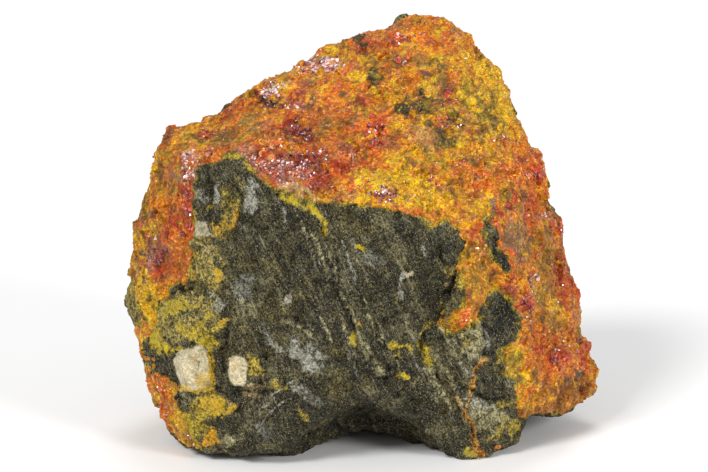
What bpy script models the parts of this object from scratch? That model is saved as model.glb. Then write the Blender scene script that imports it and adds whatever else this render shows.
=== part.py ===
# Orpiment specimen: a granular crust of orange orpiment and red realgar on a broken lump of dark foliated rock.
# The front is a fresh break through the dark rock. The crust lies over the top, the left and the right,
# laps a little round the back, and carries stubby realgar crystals. Metres, +Z up, seen from -Y.
import math
import random

import bmesh
import bpy
import numpy as np
from mathutils import Matrix, Vector, noise
from mathutils.bvhtree import BVHTree

MM = 0.001

# Driving dimensions of the rough block, before its surface relief
WIDTH = 55.0 * MM
DEPTH = 35.0 * MM
HEIGHT = 48.0 * MM

# The crust lies in a recess of the rock, which it fills up to a lumpy surface a little above the bare break
CRUST_THICKNESS = 1.8 * MM
CRUST_RISE = 0.1 * MM
LUMP_SIZE, LUMP_HEIGHT = 3.2 * MM, 0.9 * MM
RECESS_SLOPE = 3.0 * MM
CRUST_GAP = 0.3 * MM

# Where the crust ends: its skin dives into the rock over a short slope, at a wandering line
EDGE_SLOPE, EDGE_DIVE = 1.2 * MM, 3.0 * MM
EDGE_WANDER_SIZE, EDGE_WANDER = 2.6 * MM, 0.5 * MM
LAP_SIZE, LAP, LAP_WANDER = 8.0 * MM, 1.9 * MM, 3.8 * MM
RIM_DEPTH_LOW, RIM_DEPTH_HIGH = 2.6 * MM, 9.0 * MM
RIM_TURN, RIM_TOP = 29.0 * MM, 45.0 * MM
LOWEST_CRUST = 2.6 * MM
NUB_BACK = 6.0 * MM

# The feet and the heel are worn flat at this level, which becomes the floor
FOOT_LEVEL = 0.35 * MM

# The broken surface of the rock: long waves, then ridges and foliation ribs where it is bare
SWELL_SIZE, SWELL_HEIGHT = 13.0 * MM, 0.9 * MM
BREAK_SIZE, BREAK_HEIGHT = 5.0 * MM, 0.38 * MM
RIB_WIDTH, RIB_LENGTH, RIB_HEIGHT = 1.7 * MM, 12.0 * MM, 0.55 * MM
RIBS_START, RIBS_START_SLOPE = -6.0 * MM, 6.0 * MM
FOLIATION_LEAN = math.radians(66)
RIDGED_MEAN = 1.2

# Mesh density
SPHERE_SUBDIVISIONS = 7
ROCK_TRIANGLES = 3200
SKIN_TRIANGLES = 2500

SEED = 11

# Corners of the block in millimetres: across, into the depth, up. The front break, the rim and the back.
FRONT_CORNERS = (
    (-18.7, -11.0, 34.2), (-12.5, -14.0, 35.4), (-6.9, -16.0, 32.0), (4.4, -17.0, 30.8),
    (13.2, -14.5, 27.1), (15.4, -12.5, 28.4), (18.4, -12.0, 17.0), (18.2, -12.0, 7.2),
    (22.6, -8.0, 3.8), (16.0, -12.5, 0.6), (13.0, -12.5, 0.0), (-4.7, -17.0, 7.3),
    (-13.2, -15.5, 2.4), (-18.5, -13.5, 1.8), (-22.0, -12.0, 4.2), (-24.6, -9.0, 9.9),
    (-25.3, -8.0, 12.6), (-19.5, -12.0, 23.9), (-3.5, -17.8, 17.3), (4.4, -17.8, 20.9),
)
RIM_CORNERS = (
    (-23.8, -2.0, 33.1), (-22.7, 0.0, 35.4), (-18.7, 3.0, 36.2), (-13.5, 5.0, 38.7),
    (-8.3, 7.0, 42.1), (-3.6, 8.0, 44.4), (0.1, 8.5, 46.2), (4.6, 9.0, 48.0),
    (7.5, 9.0, 47.7), (11.6, 8.0, 46.6), (14.4, 7.0, 44.6), (16.0, 6.0, 41.6),
    (19.4, 3.0, 34.9), (21.5, 2.0, 30.9), (24.0, 2.0, 20.7), (25.2, 2.0, 14.8),
    (27.2, 1.0, 6.3), (26.9, 1.0, 4.4), (24.1, 0.0, 1.7), (21.0, -3.0, 0.6),
    (-24.1, -2.0, 32.5), (-25.3, -1.0, 27.5), (-26.8, 0.0, 21.2), (-27.4, 0.0, 16.0),
    (-25.4, -3.0, 8.4), (-24.2, -4.6, 4.6), (-23.4, -6.0, 2.6), (-22.0, -8.0, 1.0), (-17.0, -9.6, 0.0),
)
BACK_CORNERS = (
    (-18.0, 14.0, 29.0), (-9.0, 16.0, 36.0), (4.0, 15.5, 43.0), (11.0, 15.0, 37.0),
    (17.0, 15.5, 22.0), (20.0, 13.0, 8.0), (7.0, 17.2, 12.0), (-9.0, 17.2, 14.0),
    (-20.0, 12.5, 11.0), (-13.0, 11.0, 0.0), (-6.0, 13.5, 0.0), (9.0, 13.0, 0.0), (16.0, 7.0, 0.0),
)

# Chips knocked off the block: centre, half sizes and turn about the depth axis, in millimetres and degrees
CHIPS = {
    "arch under the front": ((1.5, -17.5, -1.0), (11.5, 11.0, 7.6), 8),
    "hollow under the base": ((-1.0, 0.5, -2.5), (16.0, 9.5, 4.2), 0),
    "chip behind the left foot": ((-27.0, 8.0, 0.0), (10.0, 9.0, 7.0), 20),
    "bite in the back": ((23.0, 19.0, 30.0), (9.0, 8.0, 9.0), -25),
}

# Swellings and hollows of the rock: centre and reach in millimetres, then height (hollows are below zero)
SWELLINGS = {
    "knobbly left part": ((-20.0, -11.0, 16.0), (5.0, 5.0, 7.0), 0.8),
    "step beside the knobbly part": ((-14.5, -15.0, 20.0), (2.2, 5.0, 9.0), -0.7),
    "round white clast": ((-19.2, -11.5, 11.0), (2.0, 4.0, 2.0), 1.1),
    "cream clast": ((-13.8, -15.0, 11.2), (1.5, 4.0, 1.8), 0.7),
    "lump by the left foot": ((-18.5, -13.0, 5.5), (3.5, 4.0, 2.2), 0.8),
    "groove beside the tongue": ((8.3, -16.5, 20.0), (2.0, 5.0, 7.5), -1.5),
    "ridge under the tongue": ((11.6, -15.0, 21.0), (2.2, 5.0, 8.0), 0.9),
    "dark lens": ((15.0, -12.5, 25.6), (1.3, 4.0, 3.6), -0.8),
    "hollow below the tongue": ((16.5, -13.0, 14.5), (3.2, 4.0, 4.0), -1.0),
    "ledge over the arch": ((3.0, -17.0, 9.5), (14.0, 4.0, 2.5), 0.7),
    "knob on the left rim": ((-26.8, 0.0, 15.5), (3.0, 5.0, 3.0), 0.5),
    "notch over the right shoulder": ((26.2, 1.0, 11.2), (4.0, 8.0, 4.2), -1.5),
    "cavity on the upper left": ((-9.4, 1.6, 39.4), (2.6, 2.6, 1.7), -1.2),
    "dip above the break": ((-6.0, -7.5, 35.6), (4.5, 2.6, 2.2), -0.6),
    "dip below the top": ((9.5, 2.5, 42.0), (3.0, 3.5, 2.6), -0.5),
    "dark spur behind the top": ((0.8, 11.0, 45.2), (3.0, 2.5, 2.5), 1.4),
    "dark spur behind the left": ((-18.0, 6.5, 37.0), (3.5, 3.0, 2.0), 0.4),
}

# Outline of the bare front break, across and up in millimetres. Outside it the front is crusted.
BARE_FRONT = (
    (-18.8, 34.3), (-17.3, 35.0), (-15.9, 35.6), (-13.1, 35.3), (-12.4, 34.2), (-10.5, 33.2),
    (-7.6, 31.6), (-4.5, 31.0), (-0.5, 30.8), (2.2, 30.7), (5.2, 30.6), (7.4, 29.2),
    (9.4, 28.6), (11.0, 28.0), (12.2, 27.4), (11.5, 25.6), (10.7, 22.6), (10.8, 20.4),
    (10.3, 18.6), (8.8, 17.0), (9.0, 16.2), (10.5, 15.5), (12.4, 16.7), (13.2, 18.2),
    (14.2, 21.3), (15.4, 21.2), (16.9, 18.9), (18.0, 16.9), (17.7, 15.0), (16.6, 13.6),
    (15.9, 11.6), (17.3, 10.2), (18.1, 8.6), (18.0, 6.6), (19.9, 5.3), (22.8, 4.2),
    (27.0, 3.0), (27.0, -3.0), (-17.5, -3.0), (-18.8, 2.0), (-20.8, 5.0), (-21.6, 7.4),
    (-22.9, 9.6), (-23.5, 11.6), (-23.6, 14.0), (-23.4, 16.2), (-22.4, 18.2), (-20.2, 20.8),
    (-19.1, 25.4), (-18.9, 30.2),
)
# Two more bare spots: a lens inside the right part of the crust, and a nub that stands out on the left rim
BARE_LENS = ((14.0, 27.8), (15.2, 27.6), (16.9, 22.6), (15.7, 22.6))
BARE_NUB = ((-30.0, 19.5), (-26.9, 18.5), (-26.4, 13.0), (-30.0, 11.5))

# Clusters of realgar crystals on the crust in front: middle across and up in millimetres, spread, number
CLUSTERS = {
    "left shoulder": (-14.5, 37.0, 2.6, 4),
    "glinting patch on the upper left": (-6.8, 42.0, 2.4, 4),
    "cavity rim": (-8.5, 39.2, 1.8, 3),
    "band above the break": (-8.0, 35.0, 4.6, 9),
    "band left end": (-18.8, 34.0, 2.0, 3),
    "middle of the top": (0.8, 37.0, 2.0, 4),
    "beside the dark spot": (6.8, 37.6, 1.6, 3),
    "upper right": (7.2, 41.0, 1.6, 3),
    "top edge": (3.6, 44.2, 1.8, 3),
    "above the yellow patch": (2.4, 32.6, 2.0, 3),
    "right part of the top": (10.2, 33.6, 2.4, 3),
    "right edge upper": (19.8, 27.0, 2.0, 4),
    "right edge middle": (20.6, 18.6, 1.8, 4),
    "right edge lower": (22.4, 10.0, 2.4, 5),
    "right shoulder": (25.8, 9.4, 1.6, 3),
    "left side upper": (-20.6, 27.2, 1.6, 4),
    "left side middle": (-22.6, 22.4, 2.2, 4),
}
LONE_CRYSTALS = 20
CRYSTAL_RADIUS, CRYSTAL_HEIGHT = 0.95 * MM, 1.5 * MM
CRYSTAL_ROOT, CRYSTAL_LEAN, CRYSTAL_SLANT = 0.58, 0.55, 0.45
CRYSTAL_MARGIN = 1.2 * MM


def empty_scene():
    for obj in list(bpy.data.objects):
        bpy.data.objects.remove(obj, do_unlink=True)


def collection(name, rendered=True):
    made = bpy.data.collections.new(name)
    made.hide_render = not rendered
    bpy.context.scene.collection.children.link(made)
    return made


def material(name, colour, roughness):
    made = bpy.data.materials.new(name)
    made.use_nodes = True
    shader = made.node_tree.nodes["Principled BSDF"]
    shader.inputs["Base Color"].default_value = (*colour, 1.0)
    shader.inputs["Roughness"].default_value = roughness
    shader.inputs["Metallic"].default_value = 0.0
    return made


def add_object(name, bm, into, surface=None):
    mesh = bpy.data.meshes.new(name)
    bm.to_mesh(mesh)
    bm.free()
    obj = bpy.data.objects.new(name, mesh)
    into.objects.link(obj)
    if surface:
        mesh.materials.append(surface)
    return obj


def evaluated_bmesh(obj):
    bpy.context.view_layer.update()
    graph = bpy.context.evaluated_depsgraph_get()
    bm = bmesh.new()
    bm.from_object(obj, graph)
    return bm


def as_helper(obj):
    obj.hide_render = True
    obj.display_type = "WIRE"
    return obj


def rough_block(helpers):
    """The block before any relief: the hull of its corners at the driving sizes, less the chips."""
    bm = bmesh.new()
    for corner in FRONT_CORNERS + RIM_CORNERS + BACK_CORNERS:
        bm.verts.new(Vector(corner) * MM)
    bmesh.ops.convex_hull(bm, input=bm.verts)
    spare = [v for v in bm.verts if not v.link_faces]
    bmesh.ops.delete(bm, geom=spare, context="VERTS")
    points = np.array([v.co for v in bm.verts])
    reach = points.max(0) - points.min(0)
    bmesh.ops.scale(bm, vec=(WIDTH / reach[0], DEPTH / reach[1], HEIGHT / reach[2]), verts=bm.verts)
    block = as_helper(add_object("rough_block", bm, helpers))
    for name, (middle, halves, turn) in CHIPS.items():
        chip = bmesh.new()
        bmesh.ops.create_icosphere(chip, subdivisions=2, radius=1.0)
        bmesh.ops.scale(chip, vec=Vector(halves) * MM, verts=chip.verts)
        bmesh.ops.rotate(chip, matrix=Matrix.Rotation(math.radians(turn), 3, "Y"), verts=chip.verts)
        cutter = as_helper(add_object(name, chip, helpers))
        cutter.location = Vector(middle) * MM
        cut = block.modifiers.new(name, "BOOLEAN")
        cut.operation = "DIFFERENCE"
        cut.object = cutter
    return block


def swelling(p):
    total = 0.0
    for middle, reach, height in SWELLINGS.values():
        away = sum(((c / MM - m) / r) ** 2 for c, m, r in zip(p, middle, reach))
        if away < 1.0:
            total += height * MM * (1.0 - away) ** 2
    return total


def foliation_ribs(p):
    """Low ribs that follow the lean of the rock's foliation across the front."""
    across = p.x * math.sin(FOLIATION_LEAN) + p.z * math.cos(FOLIATION_LEAN)
    along = p.x * math.cos(FOLIATION_LEAN) - p.z * math.sin(FOLIATION_LEAN)
    in_front = clamp((RIBS_START - p.y) / RIBS_START_SLOPE)
    return RIB_HEIGHT * in_front * waves(Vector((across / RIB_WIDTH, along / RIB_LENGTH, 0.0)), 2)


def clamp(value):
    return min(max(value, 0.0), 1.0)


def smooth_step(value, full):
    t = clamp(value / full)
    return t * t * (3.0 - 2.0 * t)


def waves(p, octaves):
    """Smooth noise about zero, each octave twice as fine and half as high."""
    return noise.fractal(p, 1.0, 2.0, octaves)


def swell(p):
    """The long waves that the rock and the crust on it share."""
    return SWELL_HEIGHT * waves(p / SWELL_SIZE, 3) + swelling(p)


def breaks(p):
    """The sharp little ridges and hollows of bare broken rock."""
    ridged = noise.ridged_multi_fractal(p / BREAK_SIZE, 1.0, 2.1, 2, 1.0, 2.0)
    return BREAK_HEIGHT * (ridged - RIDGED_MEAN) + foliation_ribs(p)


def outline_distance(outline, x, z):
    """Distance in millimetres from (x, z) to a closed outline, below zero inside it."""
    nearest, inside = 1e9, False
    for (ax, az), (bx, bz) in zip(outline, outline[1:] + outline[:1]):
        dx, dz = bx - ax, bz - az
        t = clamp(((x - ax) * dx + (z - az) * dz) / (dx * dx + dz * dz))
        nearest = min(nearest, math.hypot(x - ax - t * dx, z - az - t * dz))
        if (az > z) != (bz > z) and x < ax + (z - az) * dx / dz:
            inside = not inside
    return -nearest if inside else nearest


def crust_reach(p):
    """Distance in metres into the crusted part of the surface, below zero where the rock is bare."""
    x, z = p.x / MM, p.z / MM
    rim = RIM_DEPTH_LOW + (RIM_DEPTH_HIGH - RIM_DEPTH_LOW) * clamp((p.z - RIM_TURN) / (RIM_TOP - RIM_TURN))
    behind = rim + LAP + LAP_WANDER * waves(p / LAP_SIZE, 2) - p.y
    below = p.z - LOWEST_CRUST * (1.0 + waves(p / LAP_SIZE, 1))
    reaches = [behind, below]
    if p.y < 0.0:
        reaches += [outline_distance(bare, x, z) * MM for bare in (BARE_FRONT, BARE_LENS)]
    if p.x < 0.0 and p.y < NUB_BACK:
        reaches.append(outline_distance(BARE_NUB, x, z) * MM)
    return min(reaches) + EDGE_WANDER * waves(p / EDGE_WANDER_SIZE, 3)


def rock_offset(p):
    """How far the rock's own surface stands out of the block: it is recessed under the crust."""
    covered = smooth_step(crust_reach(p), RECESS_SLOPE)
    return swell(p) + breaks(p) * (1.0 - covered) - CRUST_THICKNESS * covered


def skin_offset(p):
    """How far the crust's surface stands out of the block: it sinks into the rock where that is bare."""
    crusted = smooth_step(crust_reach(p) + 0.5 * EDGE_SLOPE, EDGE_SLOPE)
    lumpy = CRUST_RISE + LUMP_HEIGHT * waves(p / LUMP_SIZE, 3)
    return swell(p) + crusted * lumpy - (1.0 - crusted) * EDGE_DIVE


def pressed_sphere(block, offset):
    """A fine sphere pressed onto the block from inside, then moved out by offset(point)."""
    block_bm = evaluated_bmesh(block)
    tree = BVHTree.FromBMesh(block_bm)
    block_bm.free()
    middle = Vector((0.0, 0.0, 0.5 * HEIGHT))
    bm = bmesh.new()
    bmesh.ops.create_icosphere(bm, subdivisions=SPHERE_SUBDIVISIONS, radius=1.0)
    for v in bm.verts:
        v.co = tree.ray_cast(middle, v.co)[0]
    bm.normal_update()
    places = [v.co + v.normal * offset(v.co) for v in bm.verts]
    for v, place in zip(bm.verts, places):
        v.co = place
    return bm


def simplified(obj, triangles):
    """Swaps the object's mesh for one of about that many triangles, finer where the shape turns."""
    fewer = obj.modifiers.new("fewer faces", "DECIMATE")
    fewer.ratio = triangles / len(obj.data.polygons)
    coarse = evaluated_bmesh(obj)
    obj.modifiers.clear()
    bmesh.ops.triangulate(coarse, faces=coarse.faces)
    coarse.to_mesh(obj.data)
    coarse.free()


def rock_matrix(block, into, surface):
    rock = add_object("dark_rock_matrix", pressed_sphere(block, rock_offset), into, surface)
    simplified(rock, ROCK_TRIANGLES)
    for v in rock.data.vertices:
        v.co.z = max(v.co.z, FOOT_LEVEL)
    return rock


def grown_copy(rock, by, helpers):
    """A copy of the rock with its surface moved out, which cuts the crust's inner face."""
    bm = bmesh.new()
    bm.from_mesh(rock.data)
    bm.normal_update()
    places = [v.co + v.normal * by for v in bm.verts]
    for v, place in zip(bm.verts, places):
        v.co = place
    return as_helper(add_object("rock_with_gap", bm, helpers))


def crystal(bm, foot, up, size, chance):
    """One stubby prism with a smaller slanted top, rooted in the crust at foot."""
    height = CRYSTAL_HEIGHT * size * chance.uniform(0.8, 1.3)
    radius = CRYSTAL_RADIUS * size
    lean = Vector((chance.uniform(-1, 1), chance.uniform(-1, 1), chance.uniform(-1, 1)))
    axis = (up + CRYSTAL_LEAN * lean).normalized()
    turn = axis.to_track_quat("Z", "Y").to_matrix().to_4x4()
    spin = Matrix.Rotation(chance.uniform(0.0, math.tau), 4, "Z")
    place = Matrix.Translation(foot + axis * height * (0.5 - CRYSTAL_ROOT)) @ turn @ spin
    made = bmesh.ops.create_cone(
        bm, cap_ends=True, segments=chance.choice((4, 5, 6)), radius1=radius,
        radius2=radius * chance.uniform(0.45, 0.75), depth=height, matrix=place,
    )
    slant = chance.uniform(0.0, CRYSTAL_SLANT)
    across = place.to_3x3() @ Vector((1.0, 0.0, 0.0))
    for v in made["verts"]:
        away = v.co - place.translation
        if away.dot(axis) > 0.0:
            v.co += axis * slant * away.dot(across)


def cluster_feet(tree, chance):
    """Points on the skin round the middle of each cluster, seen from in front, with their normals."""
    for x, z, spread, count in CLUSTERS.values():
        for _ in range(count):
            start = Vector((chance.gauss(x, 0.5 * spread) * MM, -DEPTH, chance.gauss(z, 0.5 * spread) * MM))
            foot, normal = tree.ray_cast(start, Vector((0.0, 1.0, 0.0)))[:2]
            if foot and crust_reach(foot) > CRYSTAL_MARGIN:
                yield foot, normal, chance.uniform(0.8, 1.45)


def lone_feet(skin_bm, chance):
    """Points scattered over the whole crust, with their normals."""
    crusted = [f for f in skin_bm.faces if crust_reach(f.calc_center_median()) > CRYSTAL_MARGIN]
    for face in chance.sample(crusted, LONE_CRYSTALS):
        yield face.calc_center_median(), face.normal, chance.uniform(0.6, 1.1)


def crystals(skin, helpers):
    """The clusters in front, then single crystals all over the rest of the crust."""
    chance = random.Random(SEED)
    skin_bm = bmesh.new()
    skin_bm.from_mesh(skin.data)
    tree = BVHTree.FromBMesh(skin_bm)
    bm = bmesh.new()
    for foot, up, size in [*cluster_feet(tree, chance), *lone_feet(skin_bm, chance)]:
        crystal(bm, foot, up, size, chance)
    skin_bm.free()
    return as_helper(add_object("crystals", bm, helpers))


def boolean(obj, operation, other):
    step = obj.modifiers.new(operation.lower(), "BOOLEAN")
    step.operation = operation
    step.object = other
    step.use_self = True


def largest_body(bm):
    """Drops every loose crumb that the cut left, and keeps the one large body."""
    left, bodies = set(bm.faces), []
    while left:
        queue = [left.pop()]
        body = list(queue)
        while queue:
            face = queue.pop()
            for near in {f for e in face.edges if e.is_manifold for f in e.link_faces} & left:
                left.remove(near)
                queue.append(near)
                body.append(near)
        bodies.append(body)
    bodies.sort(key=len)
    crumbs = [face for body in bodies[:-1] for face in body]
    bmesh.ops.delete(bm, geom=crumbs, context="FACES")


def crust(block, rock, into, helpers, surface):
    """The outer skin with its crystals, less the rock that it grew on."""
    skin = as_helper(add_object("crust_skin", pressed_sphere(block, skin_offset), helpers))
    simplified(skin, SKIN_TRIANGLES)
    boolean(skin, "UNION", crystals(skin, helpers))
    boolean(skin, "DIFFERENCE", grown_copy(rock, CRUST_GAP, helpers))
    bm = evaluated_bmesh(skin)
    bmesh.ops.triangulate(bm, faces=bm.faces)
    largest_body(bm)
    return add_object("orpiment_realgar_crust", bm, into, surface)


def rest_on_origin(objects):
    """Moves the pieces together so that the middle of their box stands on the origin."""
    points = np.array([v.co for obj in objects for v in obj.data.vertices])
    low, high = points.min(0), points.max(0)
    shift = Vector((-0.5 * (low[0] + high[0]), -0.5 * (low[1] + high[1]), -low[2]))
    for obj in objects:
        obj.data.transform(Matrix.Translation(shift))


def main():
    empty_scene()
    specimen = collection("orpiment_specimen")
    helpers = collection("cutters and guides", rendered=False)
    dark_rock = material("dark foliated rock", (0.045, 0.045, 0.036), 0.85)
    orange_crust = material("orange granular crust", (0.62, 0.17, 0.02), 0.5)
    block = rough_block(helpers)
    rock = rock_matrix(block, specimen, dark_rock)
    grown = crust(block, rock, specimen, helpers, orange_crust)
    rest_on_origin([rock, grown])


main()
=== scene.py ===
# Orpiment specimen, the looks: dark foliated rock with a granular orange and red crust of small crystals.
# Rock and crust both grow from one even skin over the two solids of the frame. Shapes are worked out in
# millimetres and written in metres.
import itertools
import math

import bmesh
import bpy
import numpy as np
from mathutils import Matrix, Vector
from mathutils.bvhtree import BVHTree


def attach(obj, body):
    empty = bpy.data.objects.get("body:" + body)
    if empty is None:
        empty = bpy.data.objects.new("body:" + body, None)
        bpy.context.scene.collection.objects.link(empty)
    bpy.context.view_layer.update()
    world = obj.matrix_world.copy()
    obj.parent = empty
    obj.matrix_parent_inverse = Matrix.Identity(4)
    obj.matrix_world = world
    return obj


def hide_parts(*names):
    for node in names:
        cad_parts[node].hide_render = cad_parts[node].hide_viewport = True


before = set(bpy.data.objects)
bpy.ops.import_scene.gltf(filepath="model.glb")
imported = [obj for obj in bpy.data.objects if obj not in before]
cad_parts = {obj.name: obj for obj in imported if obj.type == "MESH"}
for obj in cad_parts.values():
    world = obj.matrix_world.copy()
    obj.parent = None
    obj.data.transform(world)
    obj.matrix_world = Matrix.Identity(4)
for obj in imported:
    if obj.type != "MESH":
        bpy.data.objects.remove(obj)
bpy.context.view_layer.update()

MM = 0.001
ROCK, CRUST = "dark_rock_matrix", "orpiment_realgar_crust"

# The photo's frame in pixels, the size of a pixel on the stone in millimetres, and the matching camera
PHOTO_WIDTH, PHOTO_HEIGHT = 708, 472
PIXEL = 0.1165
CAMERA_TARGET = np.array([-1.32, 0.36, 23.15])
CAMERA_DISTANCE, CAMERA_RISE = 500.0, math.radians(15)
SENSOR, LENS = 36.0, 218.2
CLIP_START, CLIP_END = 0.01, 10.0

# The even skin: the solids are welded within this many metres, grown until they run together, remeshed,
# smoothed over a width in millimetres and shrunk back
WELD = 1e-6
GROWTH = 0.35
ROCK_VOXEL, CRUST_VOXEL = 0.42, 0.217
SMOOTH_WIDTH = 0.90
SETTLE = 0.27

# Where the crust ends. Its border follows the solids, or on the front the outlines drawn below, and
# wanders by noise. It dives under the rock's surface, and the rock sinks below the crust.
EDGE_WANDER, DRAWN_WANDER, DRAWN_GAIN = 0.45, 0.20, 0.20
LABEL_REACH, LABEL_SMOOTHING = 1.6, 6
CRUST_TUCK, CRUST_DIVE, CRUST_SLOPE = 0.7, 0.55, 0.5
CRUST_LIFT, CRUST_RISEN = 0.04, 0.8
ROCK_SINK, ROCK_SLOPE = 0.9, 1.4

# How squarely a surface looks at the camera where marks laid out in the photo's frame begin and are full
MARKS_BEGIN, MARKS_FULL = 0.02, 0.25

# The rock's foliation runs down to the right of the front, this far from level
FOLIATION_LEAN = math.radians(66)

# Where the skin is eased to the photo's outline: place and radius in its frame, millimetres aside and up
OUTLINE_NUDGES = (
    (212, 108, 30, 0.3, -1.15), (360, 28, 30, 0.1, -0.6), (400, 12, 22, 0.1, -0.45),
    (522, 118, 46, -1.0, 0.0), (557, 200, 24, -1.15, 0.0), (577, 322, 13, 0.5, 0.0),
    (604, 372, 24, -1.0, 0.0), (548, 438, 22, -0.7, 1.2), (165, 430, 32, 0.85, 0.0),
    (138, 374, 15, 0.7, 0.0), (146, 172, 16, 0.65, 0.0), (370, 436, 45, 0.0, 1.3),
    (127, 222, 9, 0.5, 0.0), (126, 268, 9, 0.35, 0.0), (384, 14, 16, 0.2, -0.7),
    (518, 96, 18, -0.4, 0.0), (553, 213, 13, 0.6, 0.0), (541, 148, 11, -0.55, 0.0),
    (585, 340, 10, 0.65, 0.0), (598, 372, 9, 0.5, 0.0), (541, 440, 17, -1.0, 0.7),
    (133, 244, 9, -0.55, 0.0), (192, 452, 12, 0.4, 0.0), (498, 66, 12, 0.6, 0.0),
    (546, 436, 10, -0.5, 0.9), (562, 226, 9, 0.4, 0.0), (151, 404, 9, 0.5, 0.0),
)

# Where the outline in the photo is calm the skin is smoothed further: place and radius in its frame
CALM_PLACES = ((131, 246, 27), (564, 214, 24), (530, 140, 20))
CALM_WIDTH, CALM_WEIGHT = 1.9, 0.003

# Quads of the rock that face the camera more than this, and lie no deeper in the crust, are parted in four
FINE_FACING, FINE_REACH = 0.25, 0.6

# Shifts all noise and all random draws
SEED = 7

# The noises of the surface: size of the longest waves in millimetres, octaves and seed
NOISES = {
    "crust border": (1.7, 3, 40), "drawn border": (1.0, 3, 44), "crust fringe": (1.0, 3, 7),
    "crust zones": (4.5, 3, 1), "crust mottling": (1.6, 4, 2), "crust shade": (1.6, 4, 8),
    "ragged crust": (0.9, 4, 4), "red dots": (0.55, 2, 9), "crevices": (2.6, 3, 10), "shade specks": (0.9, 4, 11),
    "crust swell": (2.2, 5, 50), "crust folds": (1.2, 2, 53), "crust roughness": (4.0, 2, 51),
    "rock swell": (1.4, 3, 81), "ribs": (1.0, 3, 90), "fine ribs": (1.0, 2, 95), "grooves": (1.3, 2, 98),
    "streaks": (1.0, 4, 101), "ragged rock": (1.0, 5, 104), "rock fringe": (1.0, 4, 105),
    "broken patches": (0.5, 3, 108), "mottled clasts": (0.7, 3, 107), "parted lines": (0.45, 3, 109),
    "thick grains": (3.0, 2, 200), "lone realgar": (2.6, 3, 210),
}

# Between which values some of these noises begin and are full
FADES = {
    "red dots": (0.55, 0.9), "shade specks": (0.42, 0.85), "crust roughness": (-0.5, 0.5),
    "broken patches": (-0.35, 0.25), "mottled clasts": (0.0, 0.8), "parted lines": (-0.30, 0.15),
    "thick grains": (-0.5, 0.4), "lone realgar": (0.1, 0.8),
}

# Lights: kind, place in metres, size in metres or for the sun its angle, and power
LIGHTS = {
    "key": ("SUN", (-0.30, -0.34, 0.42), math.radians(20), 2.15),
    "fill": ("AREA", (0.36, -0.34, 0.22), 0.16, 1.55),
    "top": ("AREA", (0.02, 0.20, 0.50), 0.20, 0.70),
}
LIT_POINT = (0.0, 0.0, 0.024)
WORLD_LIGHT = 0.40
FLOOR_HALF, FLOOR_COLOUR = 3.0, (0.96, 0.96, 0.96)


def hashed(cells, seed):
    """A repeatable number from 0 to 1 for each row of three whole numbers."""
    mixed = cells[:, 0] * 73856093 ^ cells[:, 1] * 19349663 ^ cells[:, 2] * 83492791 ^ (seed * 2654435761)
    mixed = mixed & 0xFFFFFFFF
    mixed = ((mixed ^ (mixed >> 15)) * 2246822519) & 0xFFFFFFFF
    mixed = ((mixed ^ (mixed >> 13)) * 3266489917) & 0xFFFFFFFF
    return (mixed ^ (mixed >> 16)) / 0xFFFFFFFF


def lattice_noise(points, seed):
    """Smooth noise from -1 to 1 with one lattice step per unit."""
    base = np.floor(points).astype(np.int64)
    part = points - base
    part = part * part * part * (part * (part * 6.0 - 15.0) + 10.0)
    total = np.zeros(len(points))
    for corner in itertools.product((0, 1), repeat=3):
        weight = np.prod(np.where(corner, part, 1.0 - part), axis=1)
        total += weight * hashed(base + np.array(corner), seed)
    return 2.0 * total - 1.0


def waves(points, size, octaves=1, seed=0):
    """Noise about zero whose longest waves are size long, each octave twice as fine and half as high."""
    total = np.zeros(len(points))
    for octave in range(octaves):
        finer = points / size * 2**octave + 31.7 * octave
        total += 0.5**octave * lattice_noise(finer, SEED + seed + octave)
    return total


def noise(points, name):
    size, octaves, seed = NOISES[name]
    return waves(points, size, octaves, seed=seed)


def grains(points, size, seed=0):
    """Cells over the surface: each point's cell, its offset from the middle, its distance to the edge."""
    scaled = points / size
    base = np.floor(scaled).astype(np.int64)
    nearest = np.full(len(points), 9.0)
    second = nearest.copy()
    owner = base.copy()
    middle = scaled.copy()
    for shift in itertools.product((-1, 0, 1), repeat=3):
        cell = base + np.array(shift)
        place = cell + np.stack([hashed(cell, SEED + seed + axis) for axis in range(3)], axis=1)
        away = np.linalg.norm(scaled - place, axis=1)
        closer = away < nearest
        second = np.where(closer, nearest, np.minimum(second, away))
        nearest = np.where(closer, away, nearest)
        owner[closer] = cell[closer]
        middle[closer] = place[closer]
    return owner, (scaled - middle) * size, (second - nearest) * size


def smooth_step(value, low, high):
    t = np.clip((value - low) / (high - low), 0.0, 1.0)
    return t * t * (3.0 - 2.0 * t)


def risen(points, name):
    """The named noise as a cover from 0 to 1."""
    return smooth_step(noise(points, name), *FADES[name])


def vertex_array(mesh, name, width):
    values = np.empty(len(mesh.vertices) * width, np.float32)
    mesh.vertices.foreach_get(name, values)
    return values.reshape(-1, width).astype(np.float64)


def move_vertices(mesh, points):
    """Sets the vertices to these places in millimetres."""
    mesh.vertices.foreach_set("co", (points * MM).astype(np.float32).ravel())
    mesh.update()


def edge_ends(mesh):
    ends = np.empty(len(mesh.edges) * 2, np.int32)
    mesh.edges.foreach_get("vertices", ends)
    return ends.reshape(-1, 2)


def averaged(values, ends, rounds):
    """Each vertex's value drawn towards its neighbours' mean, that many times."""
    values = values.reshape(len(values), -1)
    count = np.maximum(np.bincount(ends.ravel(), minlength=len(values)), 1.0)
    for _ in range(rounds):
        total = np.stack([
            np.bincount(ends[:, 0], column[ends[:, 1]], len(values))
            + np.bincount(ends[:, 1], column[ends[:, 0]], len(values))
            for column in values.T
        ], axis=1)
        values = 0.5 * values + 0.5 * total / count[:, None]
    return values


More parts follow.
